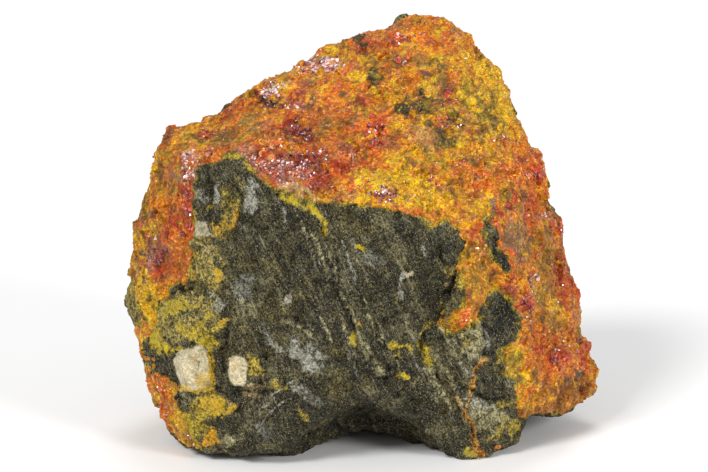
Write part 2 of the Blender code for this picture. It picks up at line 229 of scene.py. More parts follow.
def solids_together():
    """Both solids of the frame in one mesh, grown until they run into each other."""
    bm = bmesh.new()
    for name in (ROCK, CRUST):
        bm.from_mesh(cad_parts[name].data)
    bmesh.ops.remove_doubles(bm, verts=bm.verts, dist=WELD)
    bm.normal_update()
    for vertex in bm.verts:
        vertex.co += vertex.normal * GROWTH * MM
    mesh = bpy.data.meshes.new("solids together")
    bm.to_mesh(mesh)
    bm.free()
    return mesh


def largest_part(mesh):
    """Which vertices belong to the outer skin and not to a pocket closed inside it."""
    ends = edge_ends(mesh)
    label = np.arange(len(mesh.vertices))
    while True:
        lowest = np.minimum(label[ends[:, 0]], label[ends[:, 1]])
        before = label.copy()
        np.minimum.at(label, ends[:, 0], lowest)
        np.minimum.at(label, ends[:, 1], lowest)
        label = label[label]
        if (label == before).all():
            break
    names, sizes = np.unique(label, return_counts=True)
    return label == names[sizes.argmax()]


def smoothing_rounds(width, voxel):
    """How many rounds of averaging smooth a skin of this voxel over this width."""
    return round(4.0 * (width / voxel) ** 2)


def kept_faces(mesh, keep, name):
    """A new mesh of the quads whose corners are all kept, and which old vertices it has."""
    corners = np.empty(len(mesh.polygons) * 4, np.int32)
    mesh.loops.foreach_get("vertex_index", corners)
    quads = corners.reshape(-1, 4)
    quads = quads[keep[quads].all(axis=1)]
    used = np.unique(quads)
    new_place = np.zeros(len(mesh.vertices), np.int64)
    new_place[used] = np.arange(len(used))
    made = bpy.data.meshes.new(name)
    made.from_pydata(vertex_array(mesh, "co", 3)[used], [], new_place[quads])
    made.update()
    return made, used


def near_place(photo, x, y, radius):
    """1 at a place in the photo's frame, falling off softly around it."""
    return np.exp(-(((photo - np.array((x, y))) / radius) ** 2).sum(axis=1))


def nudged(points):
    """The points eased sideways and up or down where the outline in the photo asks for it."""
    photo = in_photo(points)
    moved = points.copy()
    for x, y, radius, aside, rise in OUTLINE_NUDGES:
        weight = near_place(photo, x, y, radius)
        moved[:, 0] += aside * weight
        moved[:, 2] += rise * weight
    return moved


def calmed(points, ends, voxel):
    """The points smoothed further around the calm places of the outline."""
    rounds = smoothing_rounds(CALM_WIDTH, voxel)
    for x, y, radius in CALM_PLACES:
        weight = near_place(in_photo(points), x, y, radius)
        near = np.flatnonzero(weight > CALM_WEIGHT)
        number = np.full(len(points), -1)
        number[near] = np.arange(len(near))
        inner = number[ends]
        inner = inner[(inner >= 0).all(axis=1)]
        smooth = averaged(points[near], inner, rounds)
        points[near] += weight[near, None] * (smooth - points[near])
    return points


def even_skin(solids, voxel):
    """An even quad skin over the solids, smoothed and drawn back to their true size."""
    blank = bpy.data.objects.new("skin", solids)
    bpy.context.scene.collection.objects.link(blank)
    remesh = blank.modifiers.new("even", "REMESH")
    remesh.mode = "VOXEL"
    remesh.voxel_size = voxel * MM
    graph = bpy.context.evaluated_depsgraph_get()
    whole = bpy.data.meshes.new_from_object(blank.evaluated_get(graph), depsgraph=graph)
    bpy.data.objects.remove(blank)
    skin, _ = kept_faces(whole, largest_part(whole), "skin")
    bpy.data.meshes.remove(whole)
    points = vertex_array(skin, "co", 3) / MM
    ends = edge_ends(skin)
    smooth = averaged(points, ends, smoothing_rounds(SMOOTH_WIDTH, voxel))
    move_vertices(skin, calmed(smooth, ends, voxel))
    normals = vertex_array(skin, "normal", 3)
    points = vertex_array(skin, "co", 3) / MM
    move_vertices(skin, nudged(points - normals * (GROWTH - SETTLE)))
    return skin


def outline_distance(photo, outline):
    """Distance in the photo's frame to a closed outline, below zero inside it."""
    nearest = beside_line(photo, outline + outline[:1])
    inside = np.zeros(len(photo), bool)
    x, y = photo.T
    for (ax, ay), (bx, by) in zip(outline, outline[1:] + outline[:1]):
        if ay != by:
            inside ^= ((ay > y) != (by > y)) & (x < ax + (y - ay) * (bx - ax) / (by - ay))
    return np.where(inside, -nearest, nearest)


def crust_reach(skin):
    """Distance in millimetres into the crusted part of a skin, below zero where the rock is bare."""
    trees = [BVHTree.FromPolygons(*as_polygons(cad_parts[name].data)) for name in (ROCK, CRUST)]
    points, normals = vertex_array(skin, "co", 3), vertex_array(skin, "normal", 3)
    gap = np.array([
        trees[0].find_nearest(place)[3] - trees[1].find_nearest(place)[3]
        for place in map(Vector, points)
    ]) / MM
    gap = averaged(np.clip(gap, -LABEL_REACH, LABEL_REACH), edge_ends(skin), LABEL_SMOOTHING)[:, 0]
    points = points / MM
    gap += EDGE_WANDER * noise(points, "crust border")
    photo, front = in_photo(points), facing(normals)
    outlines = (BARE_FRONT, BARE_LENS, BARE_NUB)
    drawn = PIXEL * np.minimum.reduce([outline_distance(photo, outline) for outline in outlines])
    drawn = np.clip(drawn, -LABEL_REACH, LABEL_REACH) + DRAWN_GAIN
    drawn += DRAWN_WANDER * noise(points, "drawn border")
    return gap + front * (drawn - gap)


def as_polygons(mesh):
    return [v.co.copy() for v in mesh.vertices], [tuple(p.vertices) for p in mesh.polygons]


# The view: where each point of the surface falls in the photo's frame, and how much it faces the camera
def camera_axes():
    rise = CAMERA_RISE
    right = np.array([1.0, 0.0, 0.0])
    up = np.array([0.0, math.sin(rise), math.cos(rise)])
    back = np.array([0.0, -math.cos(rise), math.sin(rise)])
    return right, up, back


def in_photo(points):
    right, up, back = camera_axes()
    away = points - CAMERA_TARGET
    scale = PHOTO_WIDTH * LENS / SENSOR / (CAMERA_DISTANCE - away @ back)
    middle = np.array((PHOTO_WIDTH / 2, PHOTO_HEIGHT / 2))
    return middle + np.stack([scale * (away @ right), -scale * (away @ up)], axis=1)


def facing(normals):
    return smooth_step(normals @ camera_axes()[2], MARKS_BEGIN, MARKS_FULL)


# Linear colours
DEEP_RED = (0.20, 0.012, 0.006)
RED = (0.46, 0.030, 0.005)
RED_ORANGE = (0.60, 0.085, 0.005)
ORANGE = (0.70, 0.215, 0.005)
GOLDEN = (0.68, 0.330, 0.005)
YELLOW = (0.80, 0.520, 0.004)
OLIVE_YELLOW = (0.36, 0.265, 0.012)
OLIVE = (0.21, 0.150, 0.014)
DARK_OLIVE = (0.036, 0.042, 0.012)
DARK_BROWN = (0.10, 0.055, 0.016)
PINK = (0.74, 0.36, 0.24)
# Partly the pale pink of crystals, partly painted glints
GLINT_PALE_PINK = (0.80, 0.60, 0.58)
LILAC = (0.52, 0.38, 0.42)
PURPLE_BROWN = (0.28, 0.105, 0.095)
PINK_BROWN = (0.44, 0.215, 0.130)
BLACK_GREY = (0.019, 0.017, 0.009)
DARK_GREY = (0.080, 0.071, 0.036)
GREY = (0.185, 0.180, 0.145)
GREY_BLUE = (0.150, 0.152, 0.125)
ROCK_OLIVE = (0.29, 0.215, 0.028)
OLIVE_BROWN = (0.21, 0.165, 0.045)
ROCK_YELLOW = (0.60, 0.440, 0.015)
VEIN_ORANGE = (0.50, 0.240, 0.035)
CREAM = (0.68, 0.59, 0.38)
TAN = (0.36, 0.26, 0.12)
OCHRE = (0.42, 0.25, 0.02)
OCHRE_YELLOW = (0.60, 0.38, 0.02)
TAN_ORANGE = (0.50, 0.27, 0.08)
OLIVE_TAN = (0.34, 0.22, 0.04)
GREY_OLIVE = (0.19, 0.17, 0.09)
PALE_OLIVE = (0.33, 0.30, 0.16)
PALE_GREY = (0.34, 0.33, 0.27)
PALE_CLAST = (0.54, 0.48, 0.32)
BLACK = (0.010, 0.010, 0.009)

# The middle of the crust's ramp of colours, and the sizes of its small grains and blocks in millimetres
RAMP_MIDDLE = 0.54
ZONE_SPREAD, ZONE_BORDER = 1.3, (0.0, 0.6)
SMALL_GRAIN, TINT_BLOCK, RELIEF_BLOCK = 0.5, 1.3, 1.7

# How far noise and single cells shift the crust's colour along the ramp, and how ragged they make borders
ZONE_SHIFT, MOTTLE_SHIFT, GRAIN_SHIFT, BLOCK_SHIFT = 0.15, 0.14, 0.09, 0.14
CRUST_RAGGED, GRAIN_RAGGED, ROCK_RAGGED, CLAST_RAGGED, LINE_RAGGED = 0.52, 0.25, 0.55, 0.14, 1.3

# The olive fringe along the crust's border: width, wander and fade in millimetres, strength, share of grains
FRINGE_WIDTH, FRINGE_WANDER, FRINGE_FADE, FRINGE_STRENGTH, FRINGE_SHARE = 0.35, 0.8, 0.8, 0.7, 0.7

# Shades of the crust: least and range of its grains' lightness, waves of lightness, dots, and painted shade
# in thin crevices and in dark brown specks between grains
GRAIN_LEAST, GRAIN_RANGE, SHADE_WAVES = 0.80, 0.36, 0.30
DOT_STRENGTH, CREVICE_SHADE, SHADE_SPECK_STRENGTH = 0.45, 0.55, 0.65
CREVICE_WIDTH = 0.07
BRIGHTEST_CRUST = 0.92

# How much of the pull grooves, clasts and lines follow, what noise leaves of patches and lines at least, and
# how much it takes from clasts
GROOVE_PULL, MARK_PULL = 0.5, 0.25
LEAST_PATCH, LEAST_LINE, CLAST_MOTTLING = 0.50, 0.30, 0.35

# How far the crust's colours drift aside and in what waves, in millimetres. The dark brown specks of painted
# shade are drawn out upwards.
DRIFT, DRIFT_WAVES = 0.8, 1.6
SHADE_SPECK_SHAPE = np.array([1.0, 1.0, 1.9])

# Relief in cells with tilted faces: size and, for the crust, height in millimetres, then lean and seed.
# The rock's chips are drawn out into its depth.
CRUST_CELLS = ((RELIEF_BLOCK, 0.14, 0.50, 60), (SMALL_GRAIN, 0.05, 0.55, 3))
ROCK_CHIPS = ((3.1, 0.34, 80), (1.1, 0.40, 120))
CHIP_SHAPE = np.array([1.0, 0.8, 1.0])

# Colours that come up where noise rises: wave size in millimetres, octaves, seed, where the noise begins and
# is full, colour and strength
CRUST_BLOOMS = {
    "purple": (1.5, 3, 5, (0.35, 0.8), PURPLE_BROWN, 0.48),
    "olive": (1.1, 3, 6, (0.40, 0.8), OLIVE, 0.65),
}
ROCK_GREY = {"grey": (1.3, 5, 100, (-0.1, 0.9), DARK_GREY, 0.8)}
ROCK_BLOOMS = {"olive": (3.5, 4, 102, (0.25, 1.0), OLIVE, 0.45)}

# Noise drawn out along the foliation, in millimetres across it, into the rock and along it
STREAK_SIZE, RIB_SIZE = np.array([0.45, 1.4, 5.0]), np.array([0.75, 2.0, 6.5])
FINE_RIB_SIZE = np.array([0.42, 1.2, 3.0])
RIB_HEIGHT, FINE_RIB_HEIGHT = 0.15, 0.07

# How far noise pulls marks about in the photo's frame: pixels, wave size in millimetres, shift of the seed
PULLS = ((5.0, 2.0, 0), (3.5, 0.8, 4))

# How strongly patches cover what is below, and between which values their borders fade
PATCH_GAIN = 1.15
CRUST_BORDER, ROCK_BORDER = (-0.2, 0.15), (-0.15, 0.35)
CLAST_BORDER, LINE_BORDER = (-0.05, 0.08), (-0.6, 0.6)
CLAST_POWER = 5.0

# Colours which the materials' nodes lay over the tints: first the painted shade in the gaps between the
# finest grains, then the finest specks
GAP_SHADE_COLOUR = (0.10, 0.018, 0.004)
PALE_DUST = (0.86, 0.48, 0.07)
OLIVE_SPECK = (0.34, 0.25, 0.03)
PALE_SPECK = (0.30, 0.28, 0.19)
LIGHT_SPECK = (0.42, 0.38, 0.25)
FINE_GRAIN = 0.26

# Fine grains of other colours in the crust: the random number that picks them, where it begins and is full,
# their strength, their colour, and whether they lie in bright or in dull crust
OTHER_GRAINS = {
    "yellow": ("hue", 0.78, 0.86, 0.40, YELLOW, "bright"),
    "red": ("hue", 0.22, 0.14, 0.42, RED, "bright"),
    "pink": ("gloss", 0.93, 0.96, 0.40, PINK, "bright"),
    "olive": ("hue", 0.76, 0.86, 0.65, OLIVE_YELLOW, "dull"),
}

# Noise in the rock's material: millimetres across, into and along the foliation, detail and roughness
ROCK_SPECKLE = (0.26, 0.28, 0.34, 4.0, 0.9)
ROCK_THIN_LINES = (0.13, 0.5, 3.4, 2.0, 0.6)
ROCK_RIBS = (0.55, 1.6, 5.5, 4.0, 0.6)

# Strength and height in millimetres of the bumps of crust, crystals and rock
CRUST_BUMP, CRYSTAL_BUMP, ROCK_BUMP = (0.6, 0.09), (0.25, 0.04), (1.0, 0.42)
FACET_LEAN = 0.6

# Gloss of the materials: crust, rock, and the clear coat of crystals
CRUST_IOR, ROCK_SPECULAR, COAT_ROUGHNESS = 1.38, 0.25, 0.08
GRAIN_LOOK = {"roughness": 0.3, "ior": 1.7, "coat": 0.0}
REALGAR_LOOK = {"roughness": 0.12, "ior": 2.0, "coat": 0.5}

# What is left of each colour in the gaps between the grains: painted shade, which turns the gaps dark and
# red
GAP_SHADE = (0.60, 0.42, 0.42)

# The crust's colours run from deep red through orange and yellow to dark olive
CRUST_RAMP = {
    0.00: DEEP_RED, 0.16: RED, 0.32: RED_ORANGE, 0.48: ORANGE, 0.62: GOLDEN,
    0.74: YELLOW, 0.82: OLIVE_YELLOW, 0.90: OLIVE, 1.00: DARK_OLIVE,
}

# Crystals and grains: how many, their radii in millimetres, and how deep they sink in parts of their radius
CRYSTAL_POINTS, CRYSTAL_SHAPES = 12, 14
GRAIN_COUNT, GRAIN_RADII, GRAIN_SINK = 6500, (0.08, 0.22), (0.1, 0.6)
LONE_REALGAR, LONE_RADII, CRYSTAL_SINK = 550, (0.10, 0.28), (-0.1, 0.5)
CLUSTER_SPREAD, CLUSTER_SIZES = 1.2, (0.45, 1.0)
BRIGHTEST = 0.9
# The palest pink in these palettes is partly the crystals' own colour and partly painted glints
PALETTES = {
    "red": (DEEP_RED, DEEP_RED, RED, RED, RED_ORANGE),
    "dark": (DEEP_RED, DEEP_RED, (0.10, 0.010, 0.012), PURPLE_BROWN),
    "pink": (GLINT_PALE_PINK, PINK, PURPLE_BROWN, PURPLE_BROWN, RED, DEEP_RED, DEEP_RED, (0.50, 0.17, 0.13)),
    "pale": (GLINT_PALE_PINK, GLINT_PALE_PINK, PINK, LILAC, LILAC, PURPLE_BROWN, RED),
    "orange": (RED_ORANGE, ORANGE, RED, GOLDEN),
    "lone": (DEEP_RED, DEEP_RED, DEEP_RED, RED, RED, RED_ORANGE, PURPLE_BROWN, PINK),
}

# Clusters of crystals in the photo's frame: middle, half sizes, number, largest radius in mm, palette
CRYSTAL_CLUSTERS = {
    "first under top edge": (400, 40, 9, 8, 22, 0.5, "red"),
    "second under top edge": (401, 61, 9, 6, 20, 0.45, "red"),
    "right of dark patch": (447, 99, 10, 8, 34, 0.38, "red"),
    "below dark patch": (443, 125, 10, 9, 34, 0.38, "red"),
    "middle of top": (375, 131, 12, 14, 46, 0.55, "red"),
    "small right of middle": (459, 126, 5, 4, 9, 0.4, "red"),
    "near right border": (506, 136, 5, 4, 9, 0.4, "pink"),
    "below yellow powder": (383, 195, 13, 8, 44, 0.42, "dark"),
    "glints below powder": (384, 191, 6, 4, 8, 0.4, "pale"),
    "right of yellow powder": (416, 172, 5, 5, 8, 0.35, "red"),
    "far right of powder": (434, 181, 6, 6, 12, 0.4, "red"),
    "above border": (462, 161, 7, 6, 14, 0.4, "red"),
    "left shoulder": (205, 135, 7, 6, 16, 0.45, "red"),
    "left shoulder, pale": (190, 160, 8, 12, 70, 0.30, "pale"),
    "left shoulder, inner pale": (207, 153, 6, 5, 12, 0.4, "pink"),
    "white facets over cavity": (270, 92, 10, 6, 34, 0.38, "pale"),
    "cavity rim": (271, 106, 14, 6, 22, 0.34, "dark"),
    "purple facets beside cavity": (295, 106, 16, 5, 24, 0.45, "pink"),
    "deep red cluster": (300, 131, 16, 10, 60, 0.45, "dark"),
    "orange red crystals": (271, 147, 18, 12, 50, 0.5, "orange"),
    "sugary band, left": (250, 160, 24, 10, 170, 0.25, "pink"),
    "sugary band, middle": (286, 170, 30, 13, 300, 0.26, "pink"),
    "sugary band, deep red": (302, 160, 24, 9, 120, 0.34, "dark"),
    "sugary band, right": (318, 182, 16, 10, 90, 0.32, "red"),
    "bright facets by middle": (321, 152, 6, 5, 14, 0.4, "pink"),
    "bright facet": (354, 157, 5, 4, 8, 0.4, "pink"),
    "pale slab": (324, 64, 17, 8, 90, 0.40, "pale"),
    "pale slab, left": (303, 69, 13, 6, 44, 0.35, "pink"),
    "white facets, upper": (278, 84, 13, 6, 40, 0.36, "pale"),
    "left strip, purple": (187, 176, 8, 10, 26, 0.45, "pink"),
    "left strip, deep red": (188, 200, 7, 14, 30, 0.45, "red"),
    "left strip, lower": (187, 228, 7, 10, 18, 0.4, "red"),
    "left edge glints": (153, 237, 7, 5, 12, 0.4, "pink"),
    "left strip, mottled": (156, 256, 13, 16, 44, 0.45, "dark"),
    "right face, upper": (526, 168, 18, 13, 30, 0.45, "orange"),
    "right face, red": (537, 173, 8, 8, 18, 0.45, "red"),
    "right face, purple": (546, 216, 6, 6, 12, 0.4, "pink"),
    "right edge, upper": (558, 226, 9, 7, 22, 0.3, "red"),
    "right edge, middle": (560, 275, 9, 28, 50, 0.28, "red"),
    "red streak on right face": (534, 284, 5, 12, 18, 0.42, "pink"),
    "red glossy spot": (526, 301, 8, 9, 26, 0.42, "red"),
    "grey speckled spot's glints": (517, 243, 12, 15, 16, 0.26, "pink"),
    "right face, low": (552, 340, 14, 10, 26, 0.4, "orange"),
    "deep red cluster on right": (558, 358, 10, 9, 46, 0.32, "red"),
    "glints of that cluster": (557, 357, 9, 8, 16, 0.26, "pink"),
    "lower right edge": (582, 352, 8, 13, 34, 0.3, "red"),
    "tongue's top": (482, 250, 8, 16, 16, 0.35, "orange"),
    "tongue's foot": (466, 315, 12, 10, 18, 0.35, "orange"),
    "lower left strip": (160, 395, 8, 26, 30, 0.4, "orange"),
}

# Broad zones of the crust in the photo's frame: middle, half sizes, and the shift along the ramp
CRUST_ZONES = {
    "red upper left": (255, 120, 62, 44, -0.08),
    "sugary band above break": (284, 168, 60, 24, -0.14),
    "red middle of top": (372, 130, 24, 24, -0.06),
    "top edge": (405, 45, 70, 34, -0.02),
    "golden middle": (440, 118, 60, 60, 0.09),
    "golden right of top": (478, 110, 34, 44, 0.06),
    "yellow right edge": (507, 102, 18, 34, 0.13),
    "yellow along break": (400, 188, 62, 18, 0.12),
    "orange under golden middle": (455, 175, 45, 25, -0.06),
    "right face upper": (527, 186, 30, 34, 0.03),
    "right face middle": (550, 272, 34, 50, -0.03),
    "right face lower": (560, 355, 34, 28, -0.07),
    "lower right border": (512, 362, 20, 30, 0.18),
    "lower right edge": (530, 402, 34, 14, 0.04),
    "left shoulder": (205, 130, 22, 14, 0.10),
    "left strip": (170, 215, 28, 40, -0.04),
    "left strip foot": (140, 298, 20, 32, 0.26),
    "lower left strip": (160, 404, 22, 42, -0.03),
    "lower left strip's inner border": (186, 415, 12, 34, 0.14),
    "tongue": (482, 290, 16, 60, -0.02),
}

# Patches of the crust in the photo's frame: middle, half sizes, turn in degrees, colour and strength
CRUST_PATCHES = {
    "dark spur on top edge": (357, 38, 9, 6, -25, DARK_OLIVE, 1.0),
    "dark spur on left edge": (214, 114, 13, 5, -20, DARK_OLIVE, 0.9),
    "yellow fleck under top": (358, 80, 7, 5, 0, YELLOW, 0.9),
    "dark spot under top": (374, 79, 9, 10, 0, DARK_OLIVE, 0.95),
    "yellow heart of dark spot": (377, 79, 3, 4, 0, OLIVE_YELLOW, 0.6),
    "yellow fleck below dark spot": (372, 94, 5, 4, 0, YELLOW, 0.9),
    "yellow fleck beside": (385, 96, 3, 4, 0, YELLOW, 0.8),
    "dark patch, left half": (404, 108, 9, 7, 20, DARK_OLIVE, 0.95),
    "dark patch, right half": (423, 106, 14, 10, 10, DARK_OLIVE, 0.95),
    "yellow specks in dark patch": (427, 103, 6, 4, 0, OLIVE_YELLOW, 0.5),
    "dark spot right of patch": (451, 117, 8, 4, 10, DARK_OLIVE, 0.8),
    "dark spot below patch": (446, 139, 9, 6, 40, DARK_OLIVE, 0.75),
    "small dark spot": (430, 125, 4, 4, 0, DARK_OLIVE, 0.7),
    "olive streak on right": (482, 126, 4, 10, -20, OLIVE, 0.8),
    "olive streak below it": (477, 141, 4, 7, 10, OLIVE, 0.8),
    "brown olive arch": (420, 62, 22, 6, 8, OLIVE, 0.55),
    "brown olive patch": (444, 72, 10, 12, 0, OLIVE, 0.6),
    "olive end of patch": (448, 86, 8, 5, 0, DARK_OLIVE, 0.45),
    "yellow end of arch": (400, 47, 6, 5, 0, YELLOW, 0.6),
    "yellow rim of arch": (425, 88, 10, 4, 10, YELLOW, 0.7),
    "orange slope": (408, 84, 12, 7, 30, ORANGE, 0.7),
    "deep red slope": (345, 114, 9, 8, 0, RED, 0.6),
    "dark red by it": (360, 104, 5, 8, 20, DEEP_RED, 0.7),
    "olive green ledge": (343, 120, 18, 5, -12, OLIVE, 0.65),
    "olive tan right of middle": (450, 109, 18, 5, 5, OLIVE_YELLOW, 0.5),
    "tan smooth spot": (424, 140, 14, 8, 20, TAN_ORANGE, 0.7),
    "yellow on right edge": (496, 68, 6, 9, 0, YELLOW, 0.8),
    "yellow down right edge": (506, 100, 7, 24, -20, YELLOW, 0.65),
    "yellow right of top": (466, 97, 9, 7, 0, YELLOW, 0.5),
    "olive right edge": (516, 112, 6, 12, -20, OLIVE, 0.35),
    "yellow powder, left": (360, 180, 12, 8, 10, YELLOW, 0.9),
    "yellow powder, middle": (384, 181, 18, 11, 0, YELLOW, 0.95),
    "yellow powder, right": (408, 176, 11, 9, 0, YELLOW, 0.8),
    "yellow along border": (410, 205, 26, 5, 2, YELLOW, 0.7),
    "yellow border by tongue": (482, 206, 9, 13, 0, YELLOW, 0.75),
    "grey streak by lens": (493, 203, 3, 11, 5, GREY_OLIVE, 0.7),
    "smooth orange": (329, 113, 20, 9, 0, ORANGE, 0.55),
    "olive tan on left": (248, 124, 13, 11, -20, OLIVE_TAN, 0.65),
    "olive dark on left": (221, 140, 12, 5, -15, OLIVE, 0.65),
    "yellow left shoulder": (206, 128, 18, 8, -25, GOLDEN, 0.6),
    "red on left shoulder": (208, 136, 6, 5, 0, RED, 0.7),
    "pink sheen on left shoulder": (190, 160, 7, 8, 0, PINK, 0.45),
    "dark cavity": (271, 102, 12, 6, -5, DEEP_RED, 0.95),
    # The cavity's black heart is partly its dark purple crystals and partly painted shade in the pit
    "painted shade in cavity": (272, 102, 12, 5, -5, (0.030, 0.008, 0.010), 0.95),
    "purple beside cavity": (295, 106, 15, 4, 4, PURPLE_BROWN, 0.7),
    "pale slab": (322, 66, 15, 7, -12, PINK, 0.55),
    "purple below slab": (308, 80, 14, 6, -15, PURPLE_BROWN, 0.45),
    "dark purple by top": (424, 76, 5, 4, 0, PURPLE_BROWN, 0.7),
    "red cluster ground": (300, 131, 16, 9, 10, DEEP_RED, 0.75),
    "sugary band, left": (252, 160, 22, 9, 12, PINK_BROWN, 0.6),
    "sugary band, middle": (288, 172, 26, 10, 20, PINK_BROWN, 0.6),
    "sugary band, deep red": (300, 160, 22, 7, 15, DEEP_RED, 0.5),
    "sugary band, right": (318, 182, 14, 9, 10, DEEP_RED, 0.55),
    "pale lower edge of band": (300, 190, 26, 4, 18, CREAM, 0.4),
    "red patch above yellow powder": (345, 165, 12, 8, 0, RED, 0.5),
    "purple red on left strip": (187, 176, 8, 10, 0, PURPLE_BROWN, 0.55),
    "bright red orange on left strip": (186, 196, 8, 12, 0, RED_ORANGE, 0.8),
    "deep red on left strip": (189, 196, 6, 7, 0, DEEP_RED, 0.5),
    "red by inner border": (186, 215, 9, 7, 0, RED, 0.6),
    "red by inner border, lower": (189, 232, 6, 7, 0, RED, 0.6),
    "grey olive streak on left": (146, 207, 4, 17, 6, OLIVE, 0.75),
    "mottled purple brown": (156, 256, 13, 16, 0, PURPLE_BROWN, 0.6),
    "dark fleck on left": (140, 249, 4, 5, 0, DARK_OLIVE, 0.8),
    "bright yellow on left": (142, 294, 12, 20, 10, YELLOW, 0.75),
    "olive patch on right face": (523, 203, 8, 14, -5, OLIVE, 0.7),
    "dark tip of olive patch": (521, 190, 3, 4, 0, DARK_OLIVE, 0.8),
    "orange red on right face": (524, 168, 18, 12, 0, RED_ORANGE, 0.55),
    "bright orange red on lower right": (556, 352, 32, 34, 0, (0.74, 0.170, 0.005), 0.5),
    "bright orange red on upper right": (526, 180, 22, 34, 0, (0.74, 0.170, 0.005), 0.4),
    "olive mottling of right face": (549, 268, 14, 28, 0, OLIVE, 0.5),
    "red on right face": (537, 173, 7, 7, 0, RED, 0.6),
    "red streak on right face": (510, 199, 4, 6, 0, RED, 0.8),
    "red streak beside it": (533, 199, 4, 6, 0, RED, 0.7),
    "dark purple spot": (508, 207, 4, 4, 0, DEEP_RED, 0.8),
    "grey speckled spot": (518, 243, 13, 16, 0, GREY_OLIVE, 0.6),
    "red edge, upper": (563, 226, 12, 6, 20, RED, 0.65),
    "red edge, middle": (567, 284, 11, 24, -15, RED, 0.55),
    "purple by red edge": (546, 216, 5, 5, 0, PURPLE_BROWN, 0.6),
    "red glossy spot": (528, 302, 9, 9, 0, RED, 0.75),
    "olive grey spot": (550, 323, 11, 10, 0, OLIVE, 0.6),
    "yellow olive border": (512, 362, 13, 18, 15, OLIVE_YELLOW, 0.35),
    "olive spot in border": (520, 354, 6, 7, 0, OLIVE, 0.45),
    "deep red cluster ground": (558, 358, 9, 8, 0, RED, 0.7),
    "red beside cluster": (541, 347, 6, 5, 0, RED, 0.7),
    "red on lower right edge": (586, 350, 6, 12, 0, RED, 0.65),
    "purple on lower right": (577, 337, 5, 4, 0, PURPLE_BROWN, 0.6),
    "shade on lower edge": (548, 399, 40, 15, -14, (0.27, 0.105, 0.006), 0.75),
    "green black fleck": (578, 376, 5, 6, 0, DARK_OLIVE, 0.8),
    "yellow orange lower edge": (530, 400, 16, 8, -10, GOLDEN, 0.7),
    "yellow border of tongue": (471, 262, 4, 22, 12, GOLDEN, 0.6),
    "brown mottling of tongue": (482, 278, 12, 40, 8, (0.36, 0.150, 0.012), 0.5),
    "orange strip on lower left": (160, 395, 8, 24, -12, RED_ORANGE, 0.5),
    "yellow border of lower left strip": (180, 412, 7, 26, -18, YELLOW, 0.5),
}

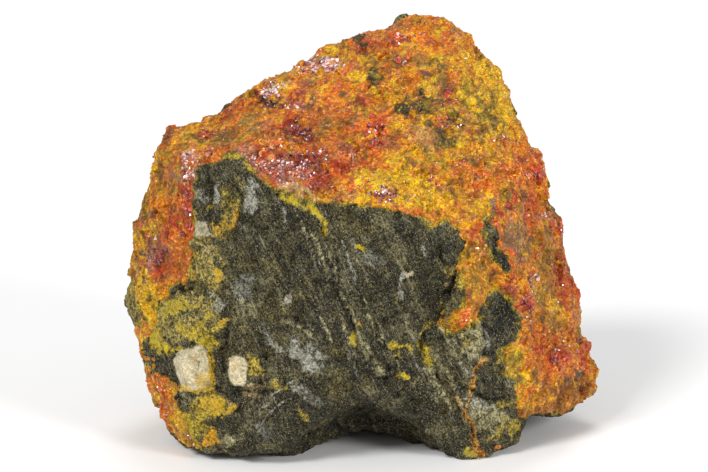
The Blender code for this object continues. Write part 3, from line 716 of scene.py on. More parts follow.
# Patches of the rock, in the same form
ROCK_PATCHES = {
    "pale grey on upper left": (216, 190, 4, 11, 20, PALE_GREY, 0.6),
    "pale grey beside it": (200, 195, 5, 7, 0, GREY, 0.7),
    "grey blue triangle": (249, 200, 11, 17, 0, GREY_BLUE, 0.95),
    "light core of triangle": (249, 198, 8, 13, 10, PALE_GREY, 0.6),
    "olive yellow ring": (228, 209, 10, 25, 8, ROCK_OLIVE, 0.5),
    "dark heart of ring": (233, 196, 3, 9, 8, DARK_OLIVE, 0.7),
    "orange in ring": (231, 217, 3, 6, 0, GOLDEN, 0.5),
    "ochre on upper left": (220, 226, 8, 8, 0, OCHRE, 0.6),
    "yellow specks on upper left": (207, 206, 6, 4, 0, ROCK_YELLOW, 0.6),
    "yellow knob on border": (231, 157, 8, 3, 0, ROCK_OLIVE, 0.5),
    "olive zone": (206, 266, 16, 28, 0, OLIVE_BROWN, 0.8),
    "ochre in olive zone": (216, 272, 5, 5, 0, OCHRE_YELLOW, 0.8),
    "tan in olive zone": (206, 251, 5, 4, 0, TAN, 0.7),
    "yellow lower olive zone": (192, 275, 8, 8, 0, OCHRE, 0.4),
    "lumps, upper": (190, 306, 32, 13, 6, OLIVE_BROWN, 0.85),
    "lumps, lower": (196, 327, 38, 16, 0, OLIVE_BROWN, 0.85),
    "lumps, left": (166, 325, 18, 18, 0, OLIVE_BROWN, 0.85),
    "yellow bloom of lumps": (178, 309, 14, 7, -12, ROCK_YELLOW, 0.45),
    "yellow specks under lumps": (205, 331, 20, 9, 0, ROCK_YELLOW, 0.5),
    "yellow by left strip": (152, 322, 7, 20, 10, ROCK_YELLOW, 0.7),
    "grey in lumps": (210, 294, 6, 4, 0, GREY, 0.75),
    "grey in lumps, right": (218, 306, 7, 6, 0, GREY, 0.7),
    "ochre step": (225, 325, 7, 7, 0, OCHRE_YELLOW, 0.85),
    "grey blue at step": (240, 287, 12, 10, 0, GREY_BLUE, 0.6),
    "grey ring": (246, 308, 14, 11, 0, GREY_OLIVE, 0.6),
    "grey blue in middle": (296, 352, 13, 10, 20, GREY_BLUE, 0.8),
    "grey blue beside it": (310, 360, 14, 13, 0, GREY_BLUE, 0.85),
    "light in grey blue": (306, 356, 16, 12, 0, PALE_GREY, 0.65),
    "grey blue under top": (371, 262, 15, 8, 5, GREY_BLUE, 0.45),
    "yellow under powder": (358, 252, 4, 3, 0, ROCK_YELLOW, 0.8),
    "yellow fleck in middle": (357, 339, 3, 5, 0, ROCK_YELLOW, 0.7),
    "yellow fleck over it": (362, 322, 3, 3, 0, GOLDEN, 0.7),
    "yellow patch in middle": (392, 347, 7, 6, 0, ROCK_YELLOW, 0.6),
    "yellow dash below it": (393, 358, 5, 2, -10, ROCK_YELLOW, 0.7),
    "yellow fleck on right": (407, 350, 4, 3, 0, ROCK_YELLOW, 0.7),
    "yellow fleck below": (403, 379, 6, 3, 15, ROCK_YELLOW, 0.85),
    "olive specks by groove": (450, 271, 11, 7, 0, ROCK_OLIVE, 0.45),
    "yellow powder over clast": (160, 350, 14, 8, 5, ROCK_YELLOW, 0.85),
    "yellow powder by clast": (178, 349, 10, 7, 0, ROCK_YELLOW, 0.8),
    "yellow over clast": (206, 341, 9, 6, 0, ROCK_YELLOW, 0.6),
    "black patch": (164, 377, 15, 8, 42, BLACK_GREY, 0.95),
    "yellow right of cream clast": (255, 366, 8, 11, -12, ROCK_OLIVE, 0.75),
    "pinkish tan": (250, 392, 8, 4, 20, TAN, 0.7),
    "yellow specks below": (275, 385, 14, 5, 0, ROCK_OLIVE, 0.6),
    "ochre triangle": (211, 407, 18, 9, -12, OCHRE_YELLOW, 0.95),
    "grey olive ring": (190, 400, 10, 8, 0, GREY_OLIVE, 0.6),
    "olive on lower left": (192, 424, 18, 18, 30, ROCK_OLIVE, 0.7),
    "yellow on lower left": (187, 424, 9, 13, -30, ROCK_YELLOW, 0.5),
    "ochre orange": (212, 440, 9, 7, 0, GOLDEN, 0.65),
    "pale olive": (228, 441, 9, 9, 0, PALE_OLIVE, 0.6),
    "pale grey on left foot": (262, 428, 8, 10, 0, GREY, 0.7),
    "pale grey at left foot's end": (222, 453, 8, 3, 0, PALE_GREY, 0.5),
    "pale yellow grey under tongue": (475, 341, 13, 17, 0, PALE_OLIVE, 0.6),
    "yellow under tongue": (468, 343, 5, 7, 0, ROCK_OLIVE, 0.6),
    "right foot, pale": (488, 416, 20, 13, 15, PALE_OLIVE, 0.6),
    "right foot, grey": (481, 405, 11, 6, 20, PALE_GREY, 0.6),
    "right foot, yellow": (505, 402, 11, 5, 0, ROCK_OLIVE, 0.7),
    "right foot, lower yellow": (511, 430, 13, 9, -20, ROCK_OLIVE, 0.85),
    "right foot, yellow specks": (495, 440, 10, 5, 0, ROCK_OLIVE, 0.5),
    "orange on right foot": (479, 452, 6, 6, 0, ORANGE, 0.7),
    "orange on right foot's edge": (505, 449, 7, 3, 0, ORANGE, 0.6),
    "yellow on right foot": (470, 455, 6, 4, 0, ROCK_YELLOW, 0.6),
    "grey strip in lens": (489, 247, 2, 12, -14, GREY_OLIVE, 0.6),
    "dark of lens": (498, 244, 10, 32, -20, BLACK, 0.95),
    "dark of right block": (503, 318, 18, 30, 10, BLACK, 0.8),
    # Painted shade in the groove left of the tongue
    "painted shade by tongue": (459, 252, 12, 26, 18, BLACK, 0.6),
    "dark on upper front": (420, 236, 40, 12, 14, BLACK, 0.45),
    # Painted shadow under the arch
    "painted shadow over arch": (372, 420, 70, 16, 0, BLACK, 0.6),
    "dark between clasts": (217, 372, 6, 26, 0, BLACK, 0.6),
    "dark at left foot": (290, 420, 30, 16, -20, BLACK, 0.5),
    "dark in middle": (330, 300, 30, 40, 20, BLACK, 0.35),
    "dark at peak": (222, 172, 16, 9, 10, BLACK, 0.5),
    "olive brown nub": (129, 302, 10, 24, 0, OLIVE_BROWN, 0.9),
}

# Clasts of pale stone, in the same form but with firm borders
CLASTS = {
    "yellow rim of large clast": (198, 372, 17, 21, 0, OCHRE_YELLOW, 0.7),
    "large clast": (193, 369, 16, 21, -7, PALE_CLAST, 1.0),
    "cream in it": (189, 374, 9, 9, 20, CREAM, 0.8),
    "yellow in it": (203, 380, 6, 8, 24, OCHRE_YELLOW, 0.6),
    "tan in it": (194, 359, 4, 6, 20, TAN_ORANGE, 0.35),
    "yellow foot of it": (183, 388, 8, 3, -10, OCHRE_YELLOW, 0.6),
    "square clast": (238, 370, 9, 14, 3, CREAM, 1.0),
    "tan in square clast": (235, 366, 3, 6, 0, TAN_ORANGE, 0.35),
    "cream on upper left": (202, 228, 7, 8, 0, PALE_CLAST, 0.8),
    "middle clast": (287, 300, 4, 5, 0, PALE_GREY, 0.45),
    "small clast": (409, 275, 4, 2, -10, CREAM, 0.6),
    "tan clast by groove": (445, 288, 3, 5, 0, TAN, 0.8),
}

# Lines on the rock in the photo's frame: corners, half width, colour and strength
ROCK_LINES = {
    "hanging yellow line": (((284, 196), (297, 203), (310, 209), (318, 214)), 2.8, ROCK_YELLOW, 0.85),
    "drop of yellow line": (((318, 214), (325, 223), (324, 233)), 2.8, ROCK_YELLOW, 0.9),
    "yellow border under band": (((258, 178), (270, 187), (284, 194)), 1.8, ROCK_OLIVE, 0.6),
    "yellow border of peak": (((222, 160), (232, 155), (242, 158)), 1.6, ROCK_YELLOW, 0.5),
    "orange vein": (((484, 359), (475, 373), (472, 385), (472, 398), (464, 412)), 1.6, VEIN_ORANGE, 0.9),
    "its lower end": (((464, 412), (470, 422), (474, 435), (478, 448), (482, 456)), 2.8, VEIN_ORANGE, 0.9),
    "orange branch": (((456, 396), (461, 408), (464, 414)), 1.2, VEIN_ORANGE, 0.8),
    "yellow vein": (((420, 344), (425, 353), (430, 364)), 3.6, ROCK_YELLOW, 0.75),
    "yellow vein, upper end": (((420, 344), (420, 338), (428, 325)), 2.4, ROCK_OLIVE, 0.65),
    "yellow vein, top": (((430, 323), (436, 314), (440, 304)), 1.4, ROCK_OLIVE, 0.5),
    "streak from vein": (((428, 365), (437, 381), (448, 405)), 1.4, PALE_OLIVE, 0.7),
    "streak beside it": (((436, 358), (450, 378), (459, 398), (463, 414)), 1.5, PALE_OLIVE, 0.7),
    "third streak": (((426, 368), (433, 385), (438, 402)), 1.2, PALE_OLIVE, 0.6),
    "pale streak from middle": (((339, 313), (344, 327), (350, 343)), 1.3, PALE_OLIVE, 0.7),
    "pale streak to arch": (((340, 291), (350, 310), (357, 330), (364, 345)), 1.5, PALE_OLIVE, 0.75),
    "pale streak's thick end": (((363, 344), (371, 357), (380, 371)), 3.0, PALE_OLIVE, 0.7),
    "pale streak beside it": (((369, 316), (375, 330), (380, 341)), 1.2, PALE_OLIVE, 0.6),
    "short pale line": (((422, 247), (427, 260)), 1.2, PALE_GREY, 0.7),
    "line on left of front": (((311, 235), (320, 256), (330, 275)), 1.2, PALE_OLIVE, 0.55),
    "line above powder": (((352, 232), (357, 255)), 1.2, PALE_GREY, 0.5),
    "cream line": (((281, 320), (296, 325), (310, 334)), 1.6, PALE_OLIVE, 0.85),
    "long streak on left": (((261, 327), (268, 338), (278, 351)), 4.0, GREY, 0.7),
    "tan line": (((246, 384), (262, 389)), 1.4, TAN, 0.7),
    "yellow green line": (((263, 388), (287, 387)), 1.5, ROCK_OLIVE, 0.7),
    "pale blob at bottom": (((297, 387), (307, 396), (320, 404)), 3.6, GREY, 0.8),
    "pale line at bottom": (((260, 409), (275, 399)), 1.5, GREY, 0.7),
    "yellow line at bottom": (((297, 409), (306, 422)), 1.8, ROCK_OLIVE, 0.7),
    "grey curve": (((403, 275), (400, 288), (403, 300)), 1.5, PALE_GREY, 0.6),
    "white vein on right": (((480, 322), (488, 335), (488, 349), (483, 358)), 0.9, PALE_GREY, 0.85),
    "white vein by orange one": (((458, 362), (466, 370), (473, 375)), 0.9, PALE_GREY, 0.75),
    "white vein below": (((476, 398), (486, 403), (494, 408)), 0.9, PALE_GREY, 0.75),
    "yellow left border of tongue": (((464, 252), (459, 268), (461, 290)), 2.2, ROCK_OLIVE, 0.7),
}

# Fine lines along the foliation, in groups: half width, colour, strength, then the corners of each line
FINE_LINES = {
    "olive": (
        0.9, PALE_OLIVE, 0.75, ((315, 238), (322, 258), (328, 278)), ((329, 246), (334, 264), (337, 281)),
        ((364, 298), (373, 322), (383, 345)), ((440, 328), (451, 346), (461, 364)),
    ),
    "thin olive": (
        0.8, PALE_OLIVE, 0.7, ((377, 322), (389, 348), (400, 370)), ((321, 318), (328, 336), (334, 350)),
        ((300, 222), (309, 246), (315, 262)),
    ),
    "olive by vein": (0.8, PALE_OLIVE, 0.75, ((424, 366), (436, 388), (449, 408))),
    "grey in middle": (0.9, GREY, 0.8, ((343, 338), (352, 362), (360, 381))),
    "grey over arch": (0.8, GREY, 0.8, ((411, 352), (421, 372), (432, 396))),
    "pale": (0.8, PALE_GREY, 0.75, ((342, 238), (349, 260), (355, 284))),
    "pale on left": (0.8, PALE_GREY, 0.7, ((276, 196), (284, 212), (286, 222))),
    "pale at left foot": (
        0.8, PALE_GREY, 0.6, ((268, 398), (285, 385), (300, 378)), ((262, 424), (274, 409), (290, 399)),
    ),
}

# Grooves and steps in the bare rock in the photo's frame: corners, half width, and depth in millimetres
ROCK_GROOVES = {
    "right border of lumps": (((221, 281), (230, 298), (234, 316), (227, 333), (222, 349)), 3.5, 0.42),
    "top border of lumps": (((158, 306), (172, 294), (188, 288), (206, 286)), 3.0, 0.36),
    "left of tongue": (((472, 244), (463, 257), (455, 271), (447, 286), (442, 302)), 5.0, 0.70),
    "from tongue's foot": (((441, 304), (431, 324), (419, 345)), 3.0, 0.40),
    "along yellow vein": (((419, 345), (431, 367), (446, 391), (463, 413)), 3.0, 0.40),
    "along orange vein": (((463, 413), (472, 433), (480, 456)), 3.0, 0.35),
    "under clasts": (((206, 386), (226, 393), (246, 391), (263, 394), (285, 384)), 3.0, 0.40),
    "black patch": (((148, 360), (163, 378), (178, 396)), 6.0, 0.45),
    "left of square clast": (((222, 356), (224, 372), (222, 388)), 3.0, 0.35),
    "edge of large clast": (((210, 350), (214, 368), (211, 390)), 3.0, 0.30),
    "ring": (((236, 186), (240, 204), (236, 224), (228, 238)), 3.0, 0.25),
    "left of triangle": (((209, 182), (211, 200), (208, 216)), 2.5, 0.25),
    "streak in middle": (((336, 288), (348, 312), (357, 336), (372, 362)), 2.5, 0.30),
    "streak beside it": (((360, 296), (372, 322), (388, 350)), 2.5, 0.25),
    "streak on left": (((320, 228), (330, 252), (338, 276)), 2.5, 0.25),
    "under top": (((400, 268), (398, 284), (402, 302)), 2.5, 0.25),
    "below tongue": (((443, 318), (449, 336), (462, 334)), 3.0, 0.30),
    "right block": (((482, 324), (489, 340), (487, 354), (478, 372)), 2.5, 0.30),
    "right foot": (((474, 392), (488, 400), (503, 398)), 3.0, 0.30),
    "left foot": (((262, 426), (275, 410), (292, 398)), 3.0, 0.30),
}

# How much deeper than that the grooves are cut, and how dark the painted shade in them is
GROOVE_GAIN, GROOVE_SHADE = 1.5, 0.75

# Outlines of the bare rock in the photo's frame: the front break, the lens in the right part, the left nub
BARE_FRONT = (
    (195, 171), (208, 163), (220, 161), (228, 153), (237, 152), (243, 157), (248, 170), (258, 179),
    (280, 190), (297, 198), (310, 201), (325, 203), (340, 200), (350, 201), (360, 207), (380, 207),
    (400, 211), (420, 216), (430, 223), (433, 230), (440, 223), (447, 221), (455, 228), (462, 235),
    (469, 238), (471, 243), (468, 248), (463, 254), (460, 263), (462, 280), (467, 290), (467, 303),
    (457, 311), (443, 316), (440, 324), (448, 332), (460, 330), (467, 324), (482, 322), (483, 310),
    (490, 295), (497, 288), (507, 295), (515, 307), (522, 317), (520, 330), (513, 342), (502, 350),
    (500, 360), (505, 372), (515, 382), (517, 395), (518, 408), (522, 417), (540, 418), (557, 418),
    (640, 436), (640, 500), (200, 500), (200, 447), (190, 428), (180, 410), (174, 396), (163, 383),
    (154, 373), (145, 362), (120, 350), (128, 341), (140, 341), (152, 336), (158, 322), (156, 308),
    (161, 300), (170, 291), (180, 284), (184, 276), (187, 268), (193, 262), (195, 252), (190, 244),
    (194, 235), (195, 222), (194, 212), (192, 203), (196, 195), (195, 183),
)
BARE_LENS = (
    (485, 218), (492, 218), (497, 228), (501, 240), (507, 256), (509, 270), (505, 274), (499, 266),
    (494, 258), (489, 247), (486, 236), (484, 226),
)
BARE_NUB = ((110, 280), (130, 284), (137, 297), (140, 312), (136, 324), (110, 324))


def ramp_colour(t):
    stops = sorted(CRUST_RAMP)
    return np.stack([np.interp(t, stops, [CRUST_RAMP[s][k] for s in stops]) for k in range(3)], axis=1)


def inside_oval(photo, x, y, half_x, half_y, turn=0.0, power=2.0):
    """1 in the middle of an oval in the photo's frame, 0 on its border and below zero outside."""
    cos, sin = math.cos(math.radians(turn)), math.sin(math.radians(turn))
    dx, dy = photo[:, 0] - x, photo[:, 1] - y
    along, across = dx * cos + dy * sin, dy * cos - dx * sin
    return 1.0 - (np.abs(along / half_x) ** power + np.abs(across / half_y) ** power) ** (1.0 / power)


def beside_line(photo, corners):
    """Distance in the photo's frame to a line through these corners."""
    nearest = np.full(len(photo), 1e3)
    for start, end in zip(corners, corners[1:]):
        start, end = np.array(start, float), np.array(end, float)
        run = end - start
        t = np.clip((photo - start) @ run / (run @ run), 0.0, 1.0)
        nearest = np.minimum(nearest, np.linalg.norm(photo - start - t[:, None] * run, axis=1))
    return nearest


def laid_over(tints, cover, colour):
    return tints + cover[:, None] * (np.array(colour) - tints)


def warped(photo, points, seed):
    """The photo's frame pulled about by noise, so that marks laid out in it get natural borders."""
    return photo + np.stack([
        sum(pixels * waves(points, size, 2, seed=seed + shift + axis) for pixels, size, shift in PULLS)
        for axis in range(2)
    ], axis=1)


def with_blooms(tints, blooms, points, share=1.0):
    """The tints with a table's colours laid over them where noise rises."""
    for size, octaves, seed, border, colour, strength in blooms.values():
        cover = smooth_step(waves(points, size, octaves, seed=seed), *border)
        tints = laid_over(tints, strength * share * cover, colour)
    return tints


def with_patches(tints, patches, photo, ragged, border, share, power=2.0, gain=PATCH_GAIN):
    """The tints with a table's ovals laid over them in turn, each with a border made ragged by noise."""
    for x, y, half_x, half_y, turn, colour, strength in patches.values():
        cover = smooth_step(inside_oval(photo, x, y, half_x, half_y, turn, power) + ragged, *border)
        tints = laid_over(tints, min(1.0, gain * strength) * share * cover, colour)
    return tints


def with_lines(tints, lines, photo, ragged, share):
    """The tints with lines laid over them, which noise thins and parts."""
    for corners, half_width, colour, strength in lines:
        cover = smooth_step(1.0 - beside_line(photo, corners) / half_width + ragged, *LINE_BORDER)
        tints = laid_over(tints, strength * share * cover, colour)
    return tints


def tilted(owner, offset, lean, seed):
    """The height of each point on its own cell's flat face, which leans at random."""
    tilt = np.stack([hashed(owner, seed + axis) - 0.5 for axis in range(3)], axis=1)
    return lean * (tilt * offset).sum(axis=1)


def crust_tints(points, normals, reach):
    """The crust's colour at each point: broad zones, patches and single grains, with painted shade in
    crevices, in specks between grains and in the gaps of the small grains.
    """
    photo, front = in_photo(points), facing(normals)
    aside = np.stack([waves(points, DRIFT_WAVES, 2, seed=20 + axis) for axis in range(3)], axis=1)
    drift = points + DRIFT * aside
    t = RAMP_MIDDLE + ZONE_SHIFT * noise(drift, "crust zones")
    t += MOTTLE_SHIFT * noise(drift, "crust mottling")
    for x, y, half_x, half_y, shift in CRUST_ZONES.values():
        inside = inside_oval(photo, x, y, half_x * ZONE_SPREAD, half_y * ZONE_SPREAD)
        t += shift * front * smooth_step(inside, *ZONE_BORDER)
    owner, _, edge = grains(points, SMALL_GRAIN, seed=3)
    block, _, _ = grains(drift, TINT_BLOCK, seed=60)
    t += GRAIN_SHIFT * (hashed(owner, 11) - 0.5) + BLOCK_SHIFT * (hashed(block, 16) - 0.5)
    tints = ramp_colour(np.clip(t, 0.0, 1.0))
    tints = with_blooms(tints, CRUST_BLOOMS, drift)
    pulled = warped(photo, points, 30)
    ragged = CRUST_RAGGED * noise(points, "ragged crust") + GRAIN_RAGGED * (hashed(owner, 13) - 0.5)
    tints = with_patches(tints, CRUST_PATCHES, pulled, ragged, CRUST_BORDER, front)
    fringe = FRINGE_WIDTH - reach + FRINGE_WANDER * noise(points, "crust fringe")
    picked = hashed(owner, 15) < FRINGE_SHARE
    tints = laid_over(tints, FRINGE_STRENGTH * smooth_step(fringe, 0.0, FRINGE_FADE) * picked, OLIVE_YELLOW)
    tints *= (GRAIN_LEAST + GRAIN_RANGE * hashed(owner, 12))[:, None]
    tints *= (1.0 + SHADE_WAVES * noise(drift, "crust shade"))[:, None]
    dots = risen(points, "red dots")
    tints = laid_over(tints, DOT_STRENGTH * dots, DEEP_RED)
    # Painted shade: thin dark crevices across the crust
    crevice = smooth_step(-np.abs(noise(drift, "crevices")), -CREVICE_WIDTH, 0.0)
    tints *= (1.0 - CREVICE_SHADE * crevice * smooth_step(dots - 0.2 * t, -0.3, 0.1))[:, None]
    # Painted shade between grains: dark brown specks, drawn out upwards
    tints = laid_over(tints, SHADE_SPECK_STRENGTH * risen(points / SHADE_SPECK_SHAPE, "shade specks"), DARK_BROWN)
    # Painted shade in the gaps between the small grains
    gap = smooth_step(edge, 0.0, 0.10)[:, None]
    return np.clip(tints * (GAP_SHADE + (1.0 - np.array(GAP_SHADE)) * gap), 0.0, BRIGHTEST_CRUST)


def crust_relief(points):
    """How far the crust stands out: flat crystal faces in small cells, over coarser blocks."""
    total = 0.30 * noise(points, "crust swell") - 0.10 * np.abs(noise(points, "crust folds"))
    rough = risen(points, "crust roughness")
    for size, height, lean, seed in CRUST_CELLS:
        owner, offset, edge = grains(points, size, seed)
        block = height * (2.0 * hashed(owner, seed + 19) - 1.0) + tilted(owner, offset, lean, seed + 15)
        total += (0.35 + 0.65 * rough) * (block - 0.05 * (1.0 - smooth_step(edge, 0.0, 0.12)))
    return total


def along_foliation(points):
    """The points turned so that the first axis crosses the foliation and the last runs along it."""
    sin, cos = math.sin(FOLIATION_LEAN), math.cos(FOLIATION_LEAN)
    across = points[:, 0] * sin + points[:, 2] * cos
    along = points[:, 0] * cos - points[:, 2] * sin
    return np.stack([across, points[:, 1], along], axis=1)


def groove_depth(points, front):
    """How deep the drawn grooves cut into the front of the rock at each point."""
    photo = in_photo(points)
    pulled = photo + GROOVE_PULL * (warped(photo, points, 130) - photo)
    total = np.zeros(len(points))
    for corners, half_width, depth in ROCK_GROOVES.values():
        beside = beside_line(pulled, corners) / half_width
        total = np.maximum(total, GROOVE_GAIN * depth * np.clip(1.0 - beside, 0.0, 1.0))
    return total * front * np.clip(0.8 + 0.7 * noise(points, "grooves"), 0.0, 1.3)


def rock_relief(points, normals):
    """Breaks of the bare rock: tilted chips, then fine ribs along the foliation on the front."""
    total = 0.16 * noise(points, "rock swell")
    for size, lean, seed in ROCK_CHIPS:
        owner, offset, _ = grains(points * CHIP_SHAPE, size, seed)
        total += tilted(owner, offset, lean, seed + 5)
    ribs = noise(along_foliation(points) / RIB_SIZE, "ribs")
    fine = noise(along_foliation(points) / FINE_RIB_SIZE, "fine ribs")
    total += (RIB_HEIGHT * ribs + FINE_RIB_HEIGHT * fine) * smooth_step(-normals[:, 1], 0.1, 0.6)
    return total - groove_depth(points, facing(normals))


def rock_tints(points, normals, reach):
    """The rock's colour at each point: dark grey with olive bloom, streaks, clasts, veins and stains, with
    painted shade in the grooves, beside the tongue and over the arch.
    """
    photo, front = in_photo(points), facing(normals)
    tints = np.tile(np.array(BLACK_GREY), (len(points), 1))
    tints = with_blooms(tints, ROCK_GREY, points)
    streaks = noise(along_foliation(points) / STREAK_SIZE, "streaks")
    tints = laid_over(tints, 0.35 * smooth_step(streaks, 0.35, 1.1), GREY_OLIVE)
    tints = laid_over(tints, 0.6 * smooth_step(-streaks, 0.1, 0.9), BLACK)
    tints = with_blooms(tints, ROCK_BLOOMS, points, 1.0 - 0.75 * front)
    pulled = warped(photo, points, 130)
    ragged = ROCK_RAGGED * noise(points, "ragged rock")
    broken = LEAST_PATCH + (1.0 - LEAST_PATCH) * risen(points, "broken patches")
    tints = with_patches(tints, ROCK_PATCHES, pulled, ragged, ROCK_BORDER, front * broken)
    less_pulled = photo + MARK_PULL * (pulled - photo)
    mottled = 1.0 - CLAST_MOTTLING * risen(points, "mottled clasts")
    tints = with_patches(
        tints, CLASTS, less_pulled, CLAST_RAGGED * ragged, CLAST_BORDER, front * mottled,
        power=CLAST_POWER, gain=1.0,
    )
    parted = LEAST_LINE + (1.0 - LEAST_LINE) * risen(points, "parted lines")
    fine_lines = [
        (corners, half_width, colour, strength)
        for half_width, colour, strength, *group in FINE_LINES.values() for corners in group
    ]
    for lines in (ROCK_LINES.values(), fine_lines):
        tints = with_lines(tints, lines, less_pulled, LINE_RAGGED * ragged, front * parted)
    # Painted shade in the grooves
    in_grooves = groove_depth(points, front)
    tints *= (1.0 - GROOVE_SHADE * smooth_step(in_grooves, 0.05, 0.55))[:, None]
    fringe = smooth_step(reach + 0.15 + 0.55 * noise(points, "rock fringe"), 0.0, 0.7)
    return laid_over(tints, 0.6 * fringe, OLIVE_YELLOW)


def colour_attribute(mesh, tints):
    layer = mesh.color_attributes.new("tint", "FLOAT_COLOR", "POINT")
    values = np.ones((len(tints), 4), np.float32)
    values[:, :3] = tints
    layer.data.foreach_set("color", values.ravel())


def add_piece(name, mesh, surface, node):
    piece = bpy.data.objects.new(name, mesh)
    bpy.context.scene.collection.objects.link(piece)
    mesh.materials.append(surface)
    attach(piece, "root")
    if node:
        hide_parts(node)


def build_crust(solids, surface):
    skin = even_skin(solids, CRUST_VOXEL)
    reach = crust_reach(skin)
    mesh, used = kept_faces(skin, reach > -CRUST_TUCK, "crust")
    reach = reach[used]
    points, normals = vertex_array(mesh, "co", 3) / MM, vertex_array(mesh, "normal", 3)
    tints = crust_tints(points, normals, reach)
    colour_attribute(mesh, tints)
    rise = (CRUST_LIFT + crust_relief(points)) * smooth_step(reach, -CRUST_SLOPE, CRUST_RISEN)
    rise -= CRUST_DIVE * (1.0 - smooth_step(reach, -CRUST_SLOPE, CRUST_SLOPE))
    points += normals * rise[:, None]
    move_vertices(mesh, points)
    add_piece("granular_crust", mesh, surface, CRUST)
    return points, normals, tints, reach


def finer_front(mesh, reach):
    """Parts the bare quads that face the camera in four."""
    bm = bmesh.new()
    bm.from_mesh(mesh)
    bm.normal_update()
    back = Vector(camera_axes()[2])
    bare = reach < FINE_REACH
    front = [
        face for face in bm.faces
        if face.normal.dot(back) > FINE_FACING and any(bare[corner.index] for corner in face.verts)
    ]
    edges = {edge for face in front for edge in face.edges}
    bmesh.ops.subdivide_edges(bm, edges=list(edges), cuts=1, use_grid_fill=True)
    bm.to_mesh(mesh)
    bm.free()
    mesh.update()


def build_rock(solids, surface):
    mesh = even_skin(solids, ROCK_VOXEL)
    mesh.name = "rock"
    finer_front(mesh, crust_reach(mesh))
    reach = crust_reach(mesh)
    points, normals = vertex_array(mesh, "co", 3) / MM, vertex_array(mesh, "normal", 3)
    colour_attribute(mesh, rock_tints(points, normals, reach))
    rise = rock_relief(points, normals) * (1.0 - smooth_step(reach, 0.0, ROCK_SLOPE))
    rise -= ROCK_SINK * smooth_step(reach, 0.0, ROCK_SLOPE)
    move_vertices(mesh, points + normals * rise[:, None])
    add_piece("foliated_rock", mesh, surface, ROCK)


# Crystals: small faceted grains in one joined mesh for each kind
def crystal_shape(rng):
    """A blocky faceted grain about one unit across: the hull of points on a box with cut corners."""
    bm = bmesh.new()
    for _ in range(CRYSTAL_POINTS):
        place = Vector(rng.normal(size=3)).normalized()
        bm.verts.new((place.x, 0.8 * place.y, 0.7 * place.z))
    bmesh.ops.convex_hull(bm, input=bm.verts)
    bmesh.ops.delete(bm, geom=[v for v in bm.verts if not v.link_faces], context="VERTS")
    bmesh.ops.triangulate(bm, faces=bm.faces)
    bm.verts.index_update()
    shape = np.array([v.co for v in bm.verts]), np.array([[v.index for v in f.verts] for f in bm.faces])
    bm.free()
    return shape


def turned(rng, count):
    """Random rotations, one three by three matrix for each crystal."""
    q = rng.normal(size=(count, 4))
    w, x, y, z = (q / np.linalg.norm(q, axis=1)[:, None]).T
    return np.stack([
        np.stack([1 - 2 * (y * y + z * z), 2 * (x * y - w * z), 2 * (x * z + w * y)], axis=1),
        np.stack([2 * (x * y + w * z), 1 - 2 * (x * x + z * z), 2 * (y * z - w * x)], axis=1),
        np.stack([2 * (x * z - w * y), 2 * (y * z + w * x), 1 - 2 * (x * x + y * y)], axis=1),
    ], axis=1)


def crystal_field(name, surface, centres, radii, tints, rng):
    """One joined mesh of crystals at these centres."""
    shapes = [crystal_shape(rng) for _ in range(CRYSTAL_SHAPES)]
    kind = rng.integers(CRYSTAL_SHAPES, size=len(centres))
    turns = turned(rng, len(centres))
    corners, faces, colours, first = [], [], [], 0
    for number, (shape, triangles) in enumerate(shapes):
        mine = np.flatnonzero(kind == number)
        placed = np.einsum("nij,vj->nvi", turns[mine], shape) * radii[mine, None, None]
        placed += centres[mine, None]
        starts = first + len(shape) * np.arange(len(mine))
        corners.append(placed.reshape(-1, 3))
        faces.append((triangles[None] + starts[:, None, None]).reshape(-1, 3))
        colours.append(np.repeat(tints[mine], len(shape), axis=0))
        first += len(shape) * len(mine)
    mesh = bpy.data.meshes.new(name)
    mesh.from_pydata(np.concatenate(corners) * MM, [], np.concatenate(faces))
    mesh.update()
    colour_attribute(mesh, np.concatenate(colours))
    add_piece(name, mesh, surface, None)


def scattered_grains(crust, surface, rng):
    """Small orange and yellow grains all over the crust, tinted like the crust below them."""
    points, normals, tints, reach = crust
    thick = risen(points, "thick grains")
    chance = smooth_step(reach, -0.1, 0.5) * (0.35 + 0.65 * thick)
    picked = rng.choice(len(points), GRAIN_COUNT, replace=False, p=chance / chance.sum())
    radii = rng.uniform(*GRAIN_RADII, GRAIN_COUNT)
    centres = points[picked] - normals[picked] * (radii * rng.uniform(*GRAIN_SINK, GRAIN_COUNT))[:, None]
    colours = tints[picked] * rng.uniform(0.8, 1.5, GRAIN_COUNT)[:, None]
    colours += rng.uniform(0.0, 0.03, (GRAIN_COUNT, 3))
    crystal_field("orpiment_grains", surface, centres, radii, np.clip(colours, 0.0, BRIGHTEST), rng)


def from_palette(name, count, rng):
    return np.array(PALETTES[name])[rng.integers(len(PALETTES[name]), size=count)]


